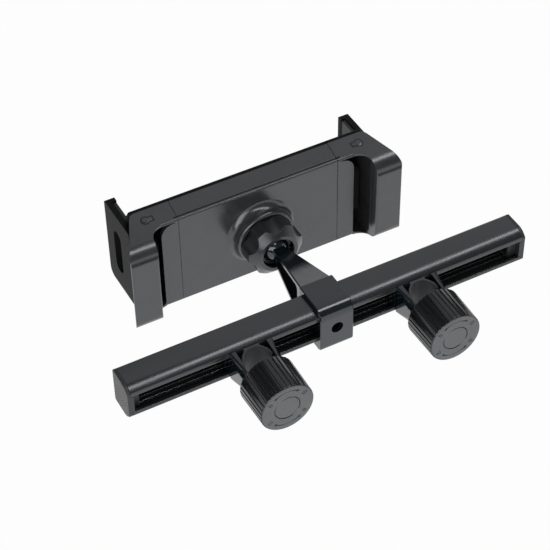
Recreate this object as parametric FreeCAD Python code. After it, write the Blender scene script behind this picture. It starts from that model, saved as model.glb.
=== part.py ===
# Headrest tablet mount: a slotted rail with two screw clamps for the headrest posts,
# an arm with a ball, and a spring loaded tablet holder on a ball socket.
# Millimetres. X runs along the rail, +Y points to the tablet, +Z is up.
# The origin is midway between the two headrest posts, on their axes, level with the rail.
import FreeCAD, Part
import math
import os

V = FreeCAD.Vector
X_AXIS = V(1, 0, 0)
Y_AXIS = V(0, 1, 0)
Z_AXIS = V(0, 0, 1)

# Headrest posts and the clamps that take them
POST_RADIUS = 7.8
CLAMP_X = 50.0
PAD_SEAT = 1.4
PAD_HORN_DEPTH = 7.5
PAD_KEY_HALF_WIDTH = 4.5
PAD_JAW_GAP = 0.1
PAD_HALF_HEIGHT = 9.3
PAD_TIP_HALF_HEIGHT = 6.5
JAW_GAP_HALF = 8.8
JAW_THICKNESS = 3.6
JAW_LENGTH = 29.7
JAW_ROOT_HALF_HEIGHT = 9.4
JAW_TIP_HALF_HEIGHT = 6.0
JAW_CHANNEL_DEPTH = 1.2
JAW_CHANNEL_HALF_HEIGHT = 3.6
JAW_CHANNEL_ROOT = 4.0
JAW_CHANNEL_TIP = 1.8
YOKE_BASE_DEPTH = 4.0
YOKE_BASE_CLEARANCE = 0.4
SLOT_CLEARANCE = 0.3
RAIL_RUN_GAP = 0.3

# Coarse thread on the jaws
THREAD_RADIUS = 13.0
THREAD_DEPTH = 1.0
THREAD_PITCH = 2.95
THREAD_TEETH = 5
THREAD_CREST = 1.2
THREAD_FLANK = 0.5
THREAD_START_FROM_TIP = 15.2
FLARE_START_FROM_TIP = 18.5
FLARE_RADIUS = 15.3

# Knobs
KNOB_RADIUS = 15.6
KNOB_FACE_RADIUS = 15.2
KNOB_LENGTH = 22.5
KNOB_WALL = 2.4
KNOB_FACE_CHAMFER = 0.6
KNOB_RIM_CHAMFER = 0.6
KNOB_BORE_CLEARANCE = 0.3
KNOB_POST_GAP = 0.2
FLUTES = 36
FLUTE_DEPTH = 0.7
FLUTE_WIDTH = 0.8
FLUTE_FLOOR_WIDTH = 0.4
PLUG_RADIUS = 7.1
PLUG_GAP = 0.15
PLUG_FLANGE_RADIUS = 9.5
PLUG_FLANGE = 1.0

# Rail extrusion and its end caps
RAIL_LENGTH = 236.0
RAIL_DEPTH = 18.0
RAIL_HALF_HEIGHT = 11.5
RAIL_FRONT_HALF_HEIGHT = 8.0
RAIL_BEVEL_DEPTH = 4.2
RAIL_BEVEL_RADIUS = 7.0
RAIL_BACK_RADIUS = 1.5
RAIL_WALL = 2.2
SLOT_HALF_HEIGHT = 5.8
RIB_SIZE = 0.6
BACK_RIB_PITCH = 5.0
FLOOR_RIB_START = 5.5
FLOOR_RIB_PITCH = 3.0
CAP_THICKNESS = 2.0
CAP_PLUG_LENGTH = 6.0
CAP_PLUG_WALL = 2.0
CAP_TONGUE = 1.5
CAP_CLEARANCE = 0.1

# Collar, arm and ball
COLLAR_HALF_WIDTH = 10.0
COLLAR_WALL = 2.8
COLLAR_CLEARANCE = 0.1
COLLAR_FRONT_RADIUS = 7.0
COLLAR_FOOT_RADIUS = 3.0
COLLAR_HOLE_RADIUS = 3.5
ARM_START = 3.0
ARM_END = 7.0
ARM_TIP_HALF_WIDTH = 3.4
ARM_TIP_HALF_HEIGHT = 4.4
ARM_FLANGE = 2.4
ARM_WEB_HALF = 1.6
ARM_POCKET_START = 4.7
ARM_POCKET_END = 11.0
ARM_EDGE_RADIUS = 0.7
BALL_RADIUS = 8.5
BALL_REACH = 51.0
ARM_SCREW_RADIUS = 2.5
ARM_SCREW_LENGTH = 13.0
ARM_SCREW_FIT = 0.05
SCREW_HEAD_RADIUS = 4.2
SCREW_HEAD = 2.8

# Ball socket: liner, split collet and locking nut
LINER_GAP = 0.12
LINER_WALL = 0.5
LINER_FRONT = 3.6
LINER_BACK = 5.0
CUP_GAP = 0.15
MOUTH_Y = -4.5
NOSE_RADIUS = 9.5
NOSE_ROOT_RADIUS = 10.4
COLLET_THREAD_RADIUS = 11.6
COLLET_THREAD_Y = -1.6
FLANGE_Y = 7.6
FLANGE_RADIUS = 14.6
FLANGE_THICKNESS = 4.0
COLLET_SLOT = 1.8
COLLET_SLOT_END = 5.6
NUT_FACE_Y = -7.5
NUT_LENGTH = 14.0
NUT_RADIUS = 16.7
NUT_BEVEL = 4.0
NUT_BEVEL_RADIUS = 11.8
NUT_BACK_CHAMFER = 1.2
NUT_OPENING_RADIUS = 9.6
NUT_LIP = 2.2
NUT_THREAD_CLEARANCE = 0.3
NUT_FLUTES = 6
NUT_FLUTE_RADIUS = 10.0
NUT_FLUTE_CENTRE = 24.0
COLLET_SCREW_RADIUS = 1.9
COLLET_SCREW_HEAD_RADIUS = 3.5
COLLET_SCREW_HEAD = 2.2

# Tablet holder; its depths are measured from the ball centre
PANEL_Y = 14.3
SHELL_DEPTH = 12.5
COVER_THICKNESS = 2.5
HOLDER_HALF_WIDTH = 49.2
PANEL_HALF_HEIGHT = 30.3
DRAFT = 0.26
SHELL_WALL = 2.2
SIDE_WALL = 3.2
SEAM_GAP = 0.2
EDGE_RADIUS = 1.2
BEAD_GROOVE = 0.5
BEAD_WIDTH = 0.8
BEAD_OFFSET = 0.2
BOSS_RADIUS = 22.5
BOSS_RIM_RADIUS = 17.4
BOSS_RIM = 0.8
BOSS_SEAT_GAP = 0.1
BOSS_WEB = 1.9
PAD_THICKNESS = 1.5
FRONT_CORNER_RADIUS = 7.0

# Grips at both ends of the holder
GRIP_BACK_Y = 1.3
GRIP_INNER_X = 67.5
GRIP_OUTER_X = 84.3
GRIP_FLARE = 11.9
GRIP_TOP_RADIUS = 10.6
GRIP_FOOT_RADIUS = 7.0
GRIP_CORNER_RADIUS = 4.5
GRIP_STEP_RADIUS = 8.0
GRIP_WALL = 2.3
WINDOW_X = 59.8
WINDOW_WIDTH = 7.2
WINDOW_HALF_HEIGHT = 29.0
PANEL_CORNER = 8.4
PANEL_CORNER_GAP = 0.6

# Hook brackets that hold the tablet
HOOK_OUTER_X = 76.6
HOOK_WALL = 3.5
HOOK_LIP = 2.5
HOOK_LIP_DEPTH = 3.5
HOOK_REACH = 22.0
HOOK_START_Y = 19.5
HOOK_HALF_HEIGHT = 27.0
HOOK_FOOT_RADIUS = 5.0
HOOK_HOLE_HALF_WIDTH = 4.6
HOOK_HOLE_HALF_HEIGHT = 14.8
HOOK_HOLE_FROM_FRONT = 14.6
HOOK_RECESS_CLEARANCE = 0.1
TAB_X = 61.2
TAB_WIDTH = 3.2
TAB_LOW_Z = -15.0
TAB_HIGH_Z = 17.0
TAB_CHAMFER = 2.0
HOOK_PAD_HALF_HEIGHT = 26.2
HOOK_PAD_THICKNESS = 2.2
HOOK_PAD_HOLE_EDGE = 0.4
FRONT_PAD_HALF_HEIGHT = 24.0

# Sliders, pinion and springs inside the holder
MODULE = 1.0
PINION_TEETH = 14
PRESSURE_ANGLE = math.radians(20)
BACKLASH = 0.25
ADDENDUM = 0.8
DEDENDUM = 1.2
SLIDER_GAP = 0.3
SLIDER_THICKNESS = 5.2
SLIDER_HEIGHT = 9.0
SLIDER_END_X = 44.0
SLIDER_BLOCK_X = 50.5
SLIDER_BLOCK_WIDTH = 8.6
EAR_WIDTH = 4.4
EAR_THICKNESS = 1.6
RACK_END_X = 9.0
PIN_RADIUS = 2.0
PIN_CLEARANCE = 0.05
COVER_BOSS_RADIUS = 4.5
SPRING_Z = 24.0
SPRING_RADIUS = 2.4
SPRING_WIRE = 0.6
SPRING_POST_RADIUS = 1.3
SPRING_ANCHOR_X = 41.0
SPRING_END = 6.0
SPRING_RIDGES = 14
SPRING_EYE_GAP = 0.2

# Places that follow from the sizes above
RAIL_FRONT_Y = POST_RADIUS + PAD_SEAT
RAIL_BACK_Y = RAIL_FRONT_Y + RAIL_DEPTH
BALL_Y = RAIL_BACK_Y + BALL_REACH
JAW_ROOT_Y = RAIL_FRONT_Y - RAIL_RUN_GAP
JAW_TIP_Y = JAW_ROOT_Y - JAW_LENGTH
KNOB_RIM_Y = -POST_RADIUS - KNOB_POST_GAP
KNOB_FACE_Y = KNOB_RIM_Y - KNOB_LENGTH
KNOB_BORE = THREAD_RADIUS + KNOB_BORE_CLEARANCE
COLLAR_FRONT_Y = RAIL_FRONT_Y - COLLAR_WALL
COLLAR_BACK_Y = RAIL_BACK_Y + COLLAR_WALL
COLLAR_HALF_HEIGHT = RAIL_HALF_HEIGHT + COLLAR_WALL
COVER_Y = PANEL_Y + SHELL_DEPTH
FRONT_Y = COVER_Y + COVER_THICKNESS
SHELL_FLOOR_Y = PANEL_Y + SHELL_WALL
FRONT_HALF_HEIGHT = PANEL_HALF_HEIGHT + DRAFT * SHELL_DEPTH
SEAM_X = HOLDER_HALF_WIDTH + SEAM_GAP
HOOK_INNER_X = HOOK_OUTER_X - HOOK_WALL
HOOK_TIP_Y = FRONT_Y + HOOK_REACH
SLIDER_Y = SHELL_FLOOR_Y + SLIDER_GAP
PITCH_RADIUS = MODULE * PINION_TEETH / 2
RACK_PITCH = math.pi * MODULE
SPRING_Y = SLIDER_Y + SLIDER_THICKNESS / 2 + 1.0


def in_yz(x):
    """Places a (y, z) outline on the plane at x."""
    return lambda u, v: V(x, u, v)


def in_xy(z):
    """Places an (x, y) outline on the plane at z."""
    return lambda u, v: V(u, v, z)


def in_xz(y):
    """Places an (x, z) outline on the plane at y."""
    return lambda u, v: V(u, y, v)


def rounded_wire(corners, place):
    """A closed wire through corners (u, v, radius), each radius as a tangent arc."""
    edges = []
    count = len(corners)
    starts = []
    for i in range(count):
        before, here, after = corners[i - 1], corners[i], corners[(i + 1) % count]
        a = V(before[0] - here[0], before[1] - here[1], 0).normalize()
        b = V(after[0] - here[0], after[1] - here[1], 0).normalize()
        corner = V(here[0], here[1], 0)
        if here[2] <= 0:
            starts.append((corner, None, corner))
            continue
        half = a.getAngle(b) / 2
        reach = here[2] / math.tan(half)
        middle = (a + b).normalize()
        centre = corner + middle * (here[2] / math.sin(half))
        starts.append((corner + a * reach, centre - middle * here[2], corner + b * reach))
    for i in range(count):
        start, through, end = starts[i]
        following = starts[(i + 1) % count][0]
        if through is not None:
            points = [place(p.x, p.y) for p in (start, through, end)]
            edges.append(Part.Arc(*points).toShape())
        if (following - end).Length > 1e-6:
            edges.append(Part.LineSegment(place(end.x, end.y), place(following.x, following.y)).toShape())
    return Part.Wire(edges)


def sharp(points, radius=0.0):
    """Corners of one radius from plain (u, v) points."""
    return [(u, v, radius) for u, v in points]


def prism_x(corners, x0, x1):
    return Part.Face(rounded_wire(corners, in_yz(x0))).extrude(V(x1 - x0, 0, 0))


def prism_y(corners, y0, y1):
    return Part.Face(rounded_wire(corners, in_xz(y0))).extrude(V(0, y1 - y0, 0))


def prism_z(corners, z0, z1):
    return Part.Face(rounded_wire(corners, in_xy(z0))).extrude(V(0, 0, z1 - z0))


def box(x0, x1, y0, y1, z0, z1):
    return Part.makeBox(x1 - x0, y1 - y0, z1 - z0, V(x0, y0, z0))


def rod_y(x, z, radius, y0, y1):
    return Part.makeCylinder(radius, y1 - y0, V(x, y0, z), Y_AXIS)


def turned_y(profile, x=0.0, y=0.0, z=0.0):
    """A turned solid about the Y direction from (radius, y) points."""
    face = Part.Face(Part.makePolygon([V(r, v, 0) for r, v in profile + profile[:1]]))
    solid = face.revolve(V(0, 0, 0), Y_AXIS, 360)
    solid.translate(V(x, y, z))
    return solid


def moved(shape, x=0.0, y=0.0, z=0.0):
    copy = shape.copy()
    copy.translate(V(x, y, z))
    return copy


def mirrored(shape):
    """The same piece for the other side, mirrored in X."""
    return shape.mirror(V(0, 0, 0), X_AXIS)


def half_turned(shape):
    """The same piece turned half a turn about the Y axis."""
    copy = shape.copy()
    copy.rotate(V(0, 0, 0), Y_AXIS, 180)
    return copy


def fused(first, *others):
    return first.fuse(list(others)).removeSplitter()


# Rail

def rail_outline(grow=0.0):
    """Section of the rail: flat top and back, a bevelled and rounded front."""
    front = RAIL_FRONT_Y - grow
    back = RAIL_BACK_Y + grow
    top = RAIL_HALF_HEIGHT + grow
    shoulder = RAIL_FRONT_Y + RAIL_BEVEL_DEPTH
    face = RAIL_FRONT_HALF_HEIGHT + grow
    upper = [(back, top, RAIL_BACK_RADIUS), (shoulder, top, RAIL_BEVEL_RADIUS), (front, face, 1.0)]
    lower = [(y, -z, r) for y, z, r in reversed(upper)]
    return upper + lower


def channel_half_height():
    return RAIL_HALF_HEIGHT - RAIL_WALL


def rail():
    half = RAIL_LENGTH / 2
    inner_front = RAIL_FRONT_Y + RAIL_WALL
    inner_back = RAIL_BACK_Y - RAIL_WALL
    high = channel_half_height()
    body = prism_x(rail_outline(), -half, half)
    shoulder = RAIL_FRONT_HALF_HEIGHT - 0.6
    channel = sharp([(inner_back, high), (inner_front + 2.0, high), (inner_front, shoulder),
                     (inner_front, -shoulder), (inner_front + 2.0, -high), (inner_back, -high)])
    body = body.cut(prism_x(channel, -half, half))
    body = body.cut(box(-half, half, RAIL_FRONT_Y - 1, inner_front + 1, -SLOT_HALF_HEIGHT, SLOT_HALF_HEIGHT))
    for z in (-BACK_RIB_PITCH, 0.0, BACK_RIB_PITCH):
        body = body.fuse(box(-half, half, inner_back - RIB_SIZE, inner_back, z - RIB_SIZE, z + RIB_SIZE))
    for y in (inner_front + FLOOR_RIB_START, inner_front + FLOOR_RIB_START + FLOOR_RIB_PITCH):
        body = body.fuse(box(-half, half, y, y + RIB_SIZE, -high, -high + RIB_SIZE))
    body = body.cut(rod_y(0, 0, ARM_SCREW_RADIUS + CAP_CLEARANCE, inner_back - 2, RAIL_BACK_Y + 1))
    body = body.cut(rod_y(0, 0, SCREW_HEAD_RADIUS + 0.6, inner_back - RIB_SIZE, inner_back))
    return body.removeSplitter()


def end_cap():
    """Right end cap: a plate, a hollow plug in the channel and a tongue that closes the slot."""
    half = RAIL_LENGTH / 2
    plate = prism_x(rail_outline(), half, half + CAP_THICKNESS)
    high = channel_half_height() - RIB_SIZE - CAP_CLEARANCE
    front = RAIL_FRONT_Y + RAIL_WALL + 2.0
    back = RAIL_BACK_Y - RAIL_WALL - RIB_SIZE - CAP_CLEARANCE
    wall = CAP_PLUG_WALL
    plug = box(half - CAP_PLUG_LENGTH, half, front, back, -high, high)
    plug = plug.cut(box(half - CAP_PLUG_LENGTH, half - 1, front + wall, back - wall, -high + wall, high - wall))
    slot = SLOT_HALF_HEIGHT - CAP_CLEARANCE
    tongue = box(half - CAP_TONGUE, half, RAIL_FRONT_Y, front + wall, -slot, slot)
    return fused(plate, plug, tongue)


# Arm with ball

def arm_half_height(y):
    """Half height of the arm at y, from the collar down to the neck of the ball."""
    start = RAIL_BACK_Y - ARM_START
    share = (y - start) / (BALL_Y - ARM_END - start)
    return COLLAR_HALF_HEIGHT + share * (ARM_TIP_HALF_HEIGHT - COLLAR_HALF_HEIGHT)


def arm_beam():
    """The tapered beam with an I section between the collar and the ball."""
    start = RAIL_BACK_Y - ARM_START
    neck = BALL_Y - ARM_END
    wide, slim = COLLAR_HALF_WIDTH, ARM_TIP_HALF_WIDTH
    high, low = COLLAR_HALF_HEIGHT, ARM_TIP_HALF_HEIGHT
    side = sharp([(start, high), (neck, low), (neck, -low), (start, -high)])
    plan = sharp([(-wide, start), (wide, start), (slim, neck), (-slim, neck)])
    beam = prism_x(side, -wide, wide).common(prism_z(plan, -high, high))
    long_edges = [e for e in beam.Edges if abs(e.Vertexes[0].Y - e.Vertexes[-1].Y) > 1]
    beam = beam.makeFillet(ARM_EDGE_RADIUS, long_edges)
    y0 = COLLAR_BACK_Y + ARM_POCKET_START
    y1 = BALL_Y - ARM_POCKET_END
    z0 = arm_half_height(y0) - ARM_FLANGE
    z1 = arm_half_height(y1) - ARM_FLANGE
    pocket = [(y0, z0, 2.5), (y1, z1, 1.0), (y1, -z1, 1.0), (y0, -z0, 2.5)]
    beam = beam.cut(prism_x(pocket, ARM_WEB_HALF, wide + 1))
    beam = beam.cut(prism_x(pocket, -wide - 1, -ARM_WEB_HALF))
    stub = rod_y(0, 0, ARM_TIP_HALF_WIDTH, neck - 1, BALL_Y)
    return fused(beam, stub)


def collar():
    """The sleeve round the rail, solid: its bore is cut when the arm is joined."""
    front, back, high = COLLAR_FRONT_Y, COLLAR_BACK_Y, COLLAR_HALF_HEIGHT
    section = [(back, high, 0.6), (front, high, COLLAR_FRONT_RADIUS),
               (front, -high, COLLAR_FOOT_RADIUS), (back, -high, 1.5)]
    sleeve = prism_x(section, -COLLAR_HALF_WIDTH, COLLAR_HALF_WIDTH)
    rims = [e for e in sleeve.Edges if abs(abs(e.CenterOfMass.x) - COLLAR_HALF_WIDTH) < 0.01
            and e.CenterOfMass.y < RAIL_BACK_Y - ARM_START - 1]
    return sleeve.makeChamfer(0.5, rims)


def ball_arm():
    whole = fused(collar(), arm_beam(), Part.makeSphere(BALL_RADIUS, V(0, BALL_Y, 0)))
    bore = prism_x(rail_outline(COLLAR_CLEARANCE), -COLLAR_HALF_WIDTH - 1, COLLAR_HALF_WIDTH + 1)
    whole = whole.cut(bore)
    whole = whole.cut(rod_y(0, 0, COLLAR_HOLE_RADIUS, COLLAR_FRONT_Y - 1, RAIL_FRONT_Y + 1))
    screw_end = RAIL_BACK_Y - RAIL_WALL + ARM_SCREW_LENGTH
    return whole.cut(rod_y(0, 0, ARM_SCREW_RADIUS + ARM_SCREW_FIT, RAIL_BACK_Y - 1, screw_end))


def arm_screw():
    """Pan head screw from inside the rail through its back wall into the arm."""
    seat = RAIL_BACK_Y - RAIL_WALL
    head = turned_y([(0, seat - SCREW_HEAD), (SCREW_HEAD_RADIUS - 1, seat - SCREW_HEAD),
                     (SCREW_HEAD_RADIUS, seat - SCREW_HEAD + 1), (SCREW_HEAD_RADIUS, seat), (0, seat)])
    shank = rod_y(0, 0, ARM_SCREW_RADIUS, seat, seat + ARM_SCREW_LENGTH - 0.5)
    across = 1.5
    socket = sharp([(across * 1.155 * math.cos(math.pi * i / 3), across * 1.155 * math.sin(math.pi * i / 3))
                    for i in range(6)])
    return fused(head, shank).cut(prism_y(socket, seat - SCREW_HEAD - 1, seat - 1.0))


# Clamps

def thread_profile(turn_share):
    """Radius against y of the coarse jaw thread, moved along by a share of a turn."""
    root = THREAD_RADIUS - THREAD_DEPTH
    start = JAW_TIP_Y + THREAD_START_FROM_TIP - turn_share * THREAD_PITCH
    points = [(0, JAW_ROOT_Y + 1), (FLARE_RADIUS, JAW_ROOT_Y + 1), (FLARE_RADIUS, JAW_ROOT_Y),
              (THREAD_RADIUS, JAW_TIP_Y + FLARE_START_FROM_TIP), (THREAD_RADIUS, start + THREAD_FLANK)]
    for i in range(THREAD_TEETH):
        y = start - i * THREAD_PITCH
        points += [(root, y), (THREAD_RADIUS, y - THREAD_FLANK),
                   (THREAD_RADIUS, y - THREAD_FLANK - THREAD_CREST),
                   (root, y - 2 * THREAD_FLANK - THREAD_CREST)]
    points += [(root, JAW_TIP_Y + 0.7), (root - 0.7, JAW_TIP_Y), (0, JAW_TIP_Y)]
    return points


def jaw(turn_share):
    """Right hand jaw of a clamp at x 0: a tapered plate with thread sectors on its outer side."""
    outer = JAW_GAP_HALF + JAW_THICKNESS
    plate = prism_x([(JAW_ROOT_Y, JAW_ROOT_HALF_HEIGHT, 0.8), (JAW_TIP_Y, JAW_TIP_HALF_HEIGHT, 1.5),
                     (JAW_TIP_Y, -JAW_TIP_HALF_HEIGHT, 1.5), (JAW_ROOT_Y, -JAW_ROOT_HALF_HEIGHT, 0.8)],
                    JAW_GAP_HALF, outer)
    plate = plate.common(turned_y(thread_profile(turn_share)))
    high = JAW_CHANNEL_HALF_HEIGHT
    y0, y1 = JAW_TIP_Y + JAW_CHANNEL_TIP, JAW_ROOT_Y - JAW_CHANNEL_ROOT
    groove = [(y1, high, 1.0), (y0, high, 1.0), (y0, -high, 1.0), (y1, -high, 1.0)]
    plate = plate.cut(prism_x(groove, JAW_GAP_HALF - 1, JAW_GAP_HALF + JAW_CHANNEL_DEPTH))
    stem_high = SLOT_HALF_HEIGHT - SLOT_CLEARANCE
    base_y = RAIL_FRONT_Y + RAIL_WALL + RAIL_RUN_GAP
    stem = box(JAW_GAP_HALF, outer, JAW_ROOT_Y - 0.5, base_y + 1, -stem_high, stem_high)
    return fused(plate, stem)


def clamp_yoke():
    """One moulding: two jaws and the base that runs inside the rail."""
    outer = JAW_GAP_HALF + JAW_THICKNESS
    base_y = RAIL_FRONT_Y + RAIL_WALL + RAIL_RUN_GAP
    high = channel_half_height() - YOKE_BASE_CLEARANCE
    low = RAIL_FRONT_HALF_HEIGHT - 0.6 - YOKE_BASE_CLEARANCE
    section = sharp([(base_y, low), (base_y, -low), (base_y + 2.0, -high),
                     (base_y + YOKE_BASE_DEPTH, -high), (base_y + YOKE_BASE_DEPTH, high),
                     (base_y + 2.0, high)])
    base = prism_x(section, -outer, outer)
    return fused(base, jaw(0.5), mirrored(jaw(0.0)))


def post_pad():
    """Rubber half sleeve for the post, with a foot that reaches through the slot to the yoke."""
    outer = JAW_GAP_HALF - PAD_JAW_GAP
    back = JAW_ROOT_Y
    tip = POST_RADIUS - PAD_HORN_DEPTH
    sleeve = Part.makeCylinder(outer, 2 * PAD_HALF_HEIGHT, V(0, 0, -PAD_HALF_HEIGHT), Z_AXIS)
    foot_start = POST_RADIUS - PAD_SEAT
    foot = box(-PAD_KEY_HALF_WIDTH, PAD_KEY_HALF_WIDTH, foot_start, back, -PAD_HALF_HEIGHT, PAD_HALF_HEIGHT)
    side = [(back, PAD_HALF_HEIGHT, 0), (tip, PAD_TIP_HALF_HEIGHT, 1.2),
            (tip, -PAD_TIP_HALF_HEIGHT, 1.2), (back, -PAD_HALF_HEIGHT, 0)]
    body = fused(sleeve, foot).common(prism_x(side, -outer, outer))
    post_end = PAD_HALF_HEIGHT + 1
    body = body.cut(Part.makeCylinder(POST_RADIUS, 2 * post_end, V(0, 0, -post_end), Z_AXIS))
    key_high = SLOT_HALF_HEIGHT - SLOT_CLEARANCE
    key = box(-PAD_KEY_HALF_WIDTH, PAD_KEY_HALF_WIDTH, back - 0.5, RAIL_FRONT_Y + RAIL_WALL + RAIL_RUN_GAP,
              -key_high, key_high)
    return fused(body, key)


def knob():
    """Fluted knob at x 0, open at its rim and pierced in its face for the plug."""
    floor = KNOB_RADIUS - FLUTE_DEPTH
    at_rim = FLUTE_WIDTH / 2 / KNOB_RADIUS
    at_floor = FLUTE_FLOOR_WIDTH / 2 / floor
    flute = [(KNOB_RADIUS, -at_rim), (floor, -at_floor), (floor, at_floor), (KNOB_RADIUS, at_rim)]
    outline = []
    for i in range(FLUTES):
        middle = 2 * math.pi * i / FLUTES
        outline += [(r * math.cos(middle + a), r * math.sin(middle + a)) for r, a in flute]
    body = prism_y(sharp(outline), KNOB_FACE_Y, KNOB_RIM_Y)
    hole = PLUG_RADIUS + PLUG_GAP
    inside = KNOB_FACE_Y + KNOB_WALL
    turned = turned_y([(hole, KNOB_FACE_Y), (KNOB_FACE_RADIUS - KNOB_FACE_CHAMFER, KNOB_FACE_Y),
                       (KNOB_FACE_RADIUS, KNOB_FACE_Y + KNOB_FACE_CHAMFER),
                       (KNOB_RADIUS, KNOB_RIM_Y - KNOB_RIM_CHAMFER),
                       (KNOB_RADIUS - KNOB_RIM_CHAMFER, KNOB_RIM_Y),
                       (KNOB_BORE + 0.8, KNOB_RIM_Y), (KNOB_BORE, KNOB_RIM_Y - 0.8),
                       (KNOB_BORE, inside), (hole, inside)])
    return body.common(turned)


def knob_plug():
    """Round plug in the middle of the knob's face, with a flange behind it."""
    inside = KNOB_FACE_Y + KNOB_WALL
    return turned_y([(0, KNOB_FACE_Y), (PLUG_RADIUS - 0.3, KNOB_FACE_Y), (PLUG_RADIUS, KNOB_FACE_Y + 0.3),
                     (PLUG_RADIUS, inside + PLUG_GAP), (PLUG_FLANGE_RADIUS, inside + PLUG_GAP),
                     (PLUG_FLANGE_RADIUS, inside + PLUG_GAP + PLUG_FLANGE),
                     (0, inside + PLUG_GAP + PLUG_FLANGE)])


# Ball socket, drawn about the ball centre and moved to it

def socket_liner():
    inner = BALL_RADIUS + LINER_GAP
    outer = inner + LINER_WALL
    shell = Part.makeSphere(outer).cut(Part.makeSphere(inner))
    zone = shell.common(rod_y(0, 0, outer + 1, -LINER_FRONT, LINER_BACK))
    return moved(zone, y=BALL_Y)


def cup_radius():
    return BALL_RADIUS + LINER_GAP + LINER_WALL + CUP_GAP


def ball_collet():
    """Split sleeve with an outer thread and a round cup, on a flange that seats in the boss."""
    back = FLANGE_Y + FLANGE_THICKNESS
    body = turned_y([(0, MOUTH_Y), (NOSE_RADIUS - 0.4, MOUTH_Y), (NOSE_RADIUS, MOUTH_Y + 0.4),
                     (NOSE_ROOT_RADIUS, COLLET_THREAD_Y - 0.6), (COLLET_THREAD_RADIUS, COLLET_THREAD_Y + 0.4),
                     (COLLET_THREAD_RADIUS, FLANGE_Y), (FLANGE_RADIUS - 0.4, FLANGE_Y),
                     (FLANGE_RADIUS, FLANGE_Y + 0.4), (FLANGE_RADIUS, back), (0, back)])
    body = body.cut(Part.makeSphere(cup_radius()))
    reach = FLANGE_RADIUS
    half = COLLET_SLOT / 2
    body = body.cut(box(-reach, reach, MOUTH_Y - 1, COLLET_SLOT_END, -half, half))
    body = body.cut(box(-half, half, MOUTH_Y - 1, COLLET_SLOT_END, -reach, reach))
    body = body.cut(rod_y(0, 0, COLLET_SCREW_RADIUS, 0, back + 1))
    return moved(body, y=BALL_Y)


def locking_nut():
    """Six lobed nut, bevelled to its front ring, that closes the collet on the ball."""
    back = NUT_FACE_Y + NUT_LENGTH
    bore = COLLET_THREAD_RADIUS + NUT_THREAD_CLEARANCE
    lip_end = NUT_FACE_Y + NUT_LIP
    body = turned_y([(NUT_OPENING_RADIUS, NUT_FACE_Y + 0.3), (NUT_OPENING_RADIUS + 0.3, NUT_FACE_Y),
                     (NUT_BEVEL_RADIUS, NUT_FACE_Y), (NUT_RADIUS, NUT_FACE_Y + NUT_BEVEL),
                     (NUT_RADIUS, back - NUT_BACK_CHAMFER), (NUT_RADIUS - NUT_BACK_CHAMFER, back),
                     (bore + 0.6, back), (bore, back - 0.6), (bore, lip_end + bore - NUT_OPENING_RADIUS),
                     (NUT_OPENING_RADIUS, lip_end)])
    for i in range(NUT_FLUTES):
        angle = math.radians(30 + 360 / NUT_FLUTES * i)
        x, z = NUT_FLUTE_CENTRE * math.cos(angle), NUT_FLUTE_CENTRE * math.sin(angle)
        body = body.cut(rod_y(x, z, NUT_FLUTE_RADIUS, NUT_FACE_Y - 1, back + 1))
    return moved(body, y=BALL_Y)


def collet_screw():
    """Screw from inside the holder that pulls the collet into its seat."""
    seat = FLANGE_Y + FLANGE_THICKNESS + BOSS_WEB
    head = rod_y(0, 0, COLLET_SCREW_HEAD_RADIUS, seat, seat + COLLET_SCREW_HEAD)
    tip = cup_radius() + 0.4
    return moved(fused(head, rod_y(0, 0, COLLET_SCREW_RADIUS, tip, seat)), y=BALL_Y)


# Tablet holder, drawn about the ball centre and moved to it

def top_at(y):
    """Height of the drafted top surface at y."""
    return PANEL_HALF_HEIGHT + DRAFT * (y - PANEL_Y)


def shell_section(grooved=True):
    """Outer section of the holder between the panel and the parting line, with the groove of the bead."""
    groove = PANEL_Y + EDGE_RADIUS + BEAD_OFFSET
    behind = groove + BEAD_WIDTH
    floor = top_at(groove) - BEAD_GROOVE
    upper = [(COVER_Y, FRONT_HALF_HEIGHT, 0)]
    if grooved:
        upper += [(behind, top_at(behind), 0), (behind, floor, 0), (groove, floor, 0), (groove, top_at(groove), 0)]
    upper.append((PANEL_Y, PANEL_HALF_HEIGHT, EDGE_RADIUS))
    return upper + [(y, -z, r) for y, z, r in reversed(upper)]


def boss():
    """The raised ring on the panel with its concave foot."""
    rim = FLANGE_Y - BOSS_RIM
    foot = V(BOSS_RADIUS, PANEL_Y + 0.3, 0)
    crest = V(BOSS_RIM_RADIUS, rim + 2.2, 0)
    sag = V(BOSS_RIM_RADIUS + 1.3, PANEL_Y - 1.6, 0)
    seat = FLANGE_RADIUS + BOSS_SEAT_GAP
    top = [crest, V(BOSS_RIM_RADIUS - 0.5, rim + 0.5, 0), V(seat + 1.1, rim, 0)]
    lines = [top[2], V(seat, rim + 0.6, 0), V(seat, SHELL_FLOOR_Y, 0),
             V(BOSS_RADIUS, SHELL_FLOOR_Y, 0), foot]
    edges = [Part.Arc(foot, sag, crest).toShape(), Part.Arc(*top).toShape()]
    edges += [Part.LineSegment(lines[i], lines[i + 1]).toShape() for i in range(len(lines) - 1)]
    ring = Part.Face(Part.Wire(Part.__sortEdges__(edges))).revolve(V(0, 0, 0), Y_AXIS, 360)
    web = FLANGE_Y + FLANGE_THICKNESS
    return fused(ring, rod_y(0, 0, seat + 0.5, web, SHELL_FLOOR_Y))


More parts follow.
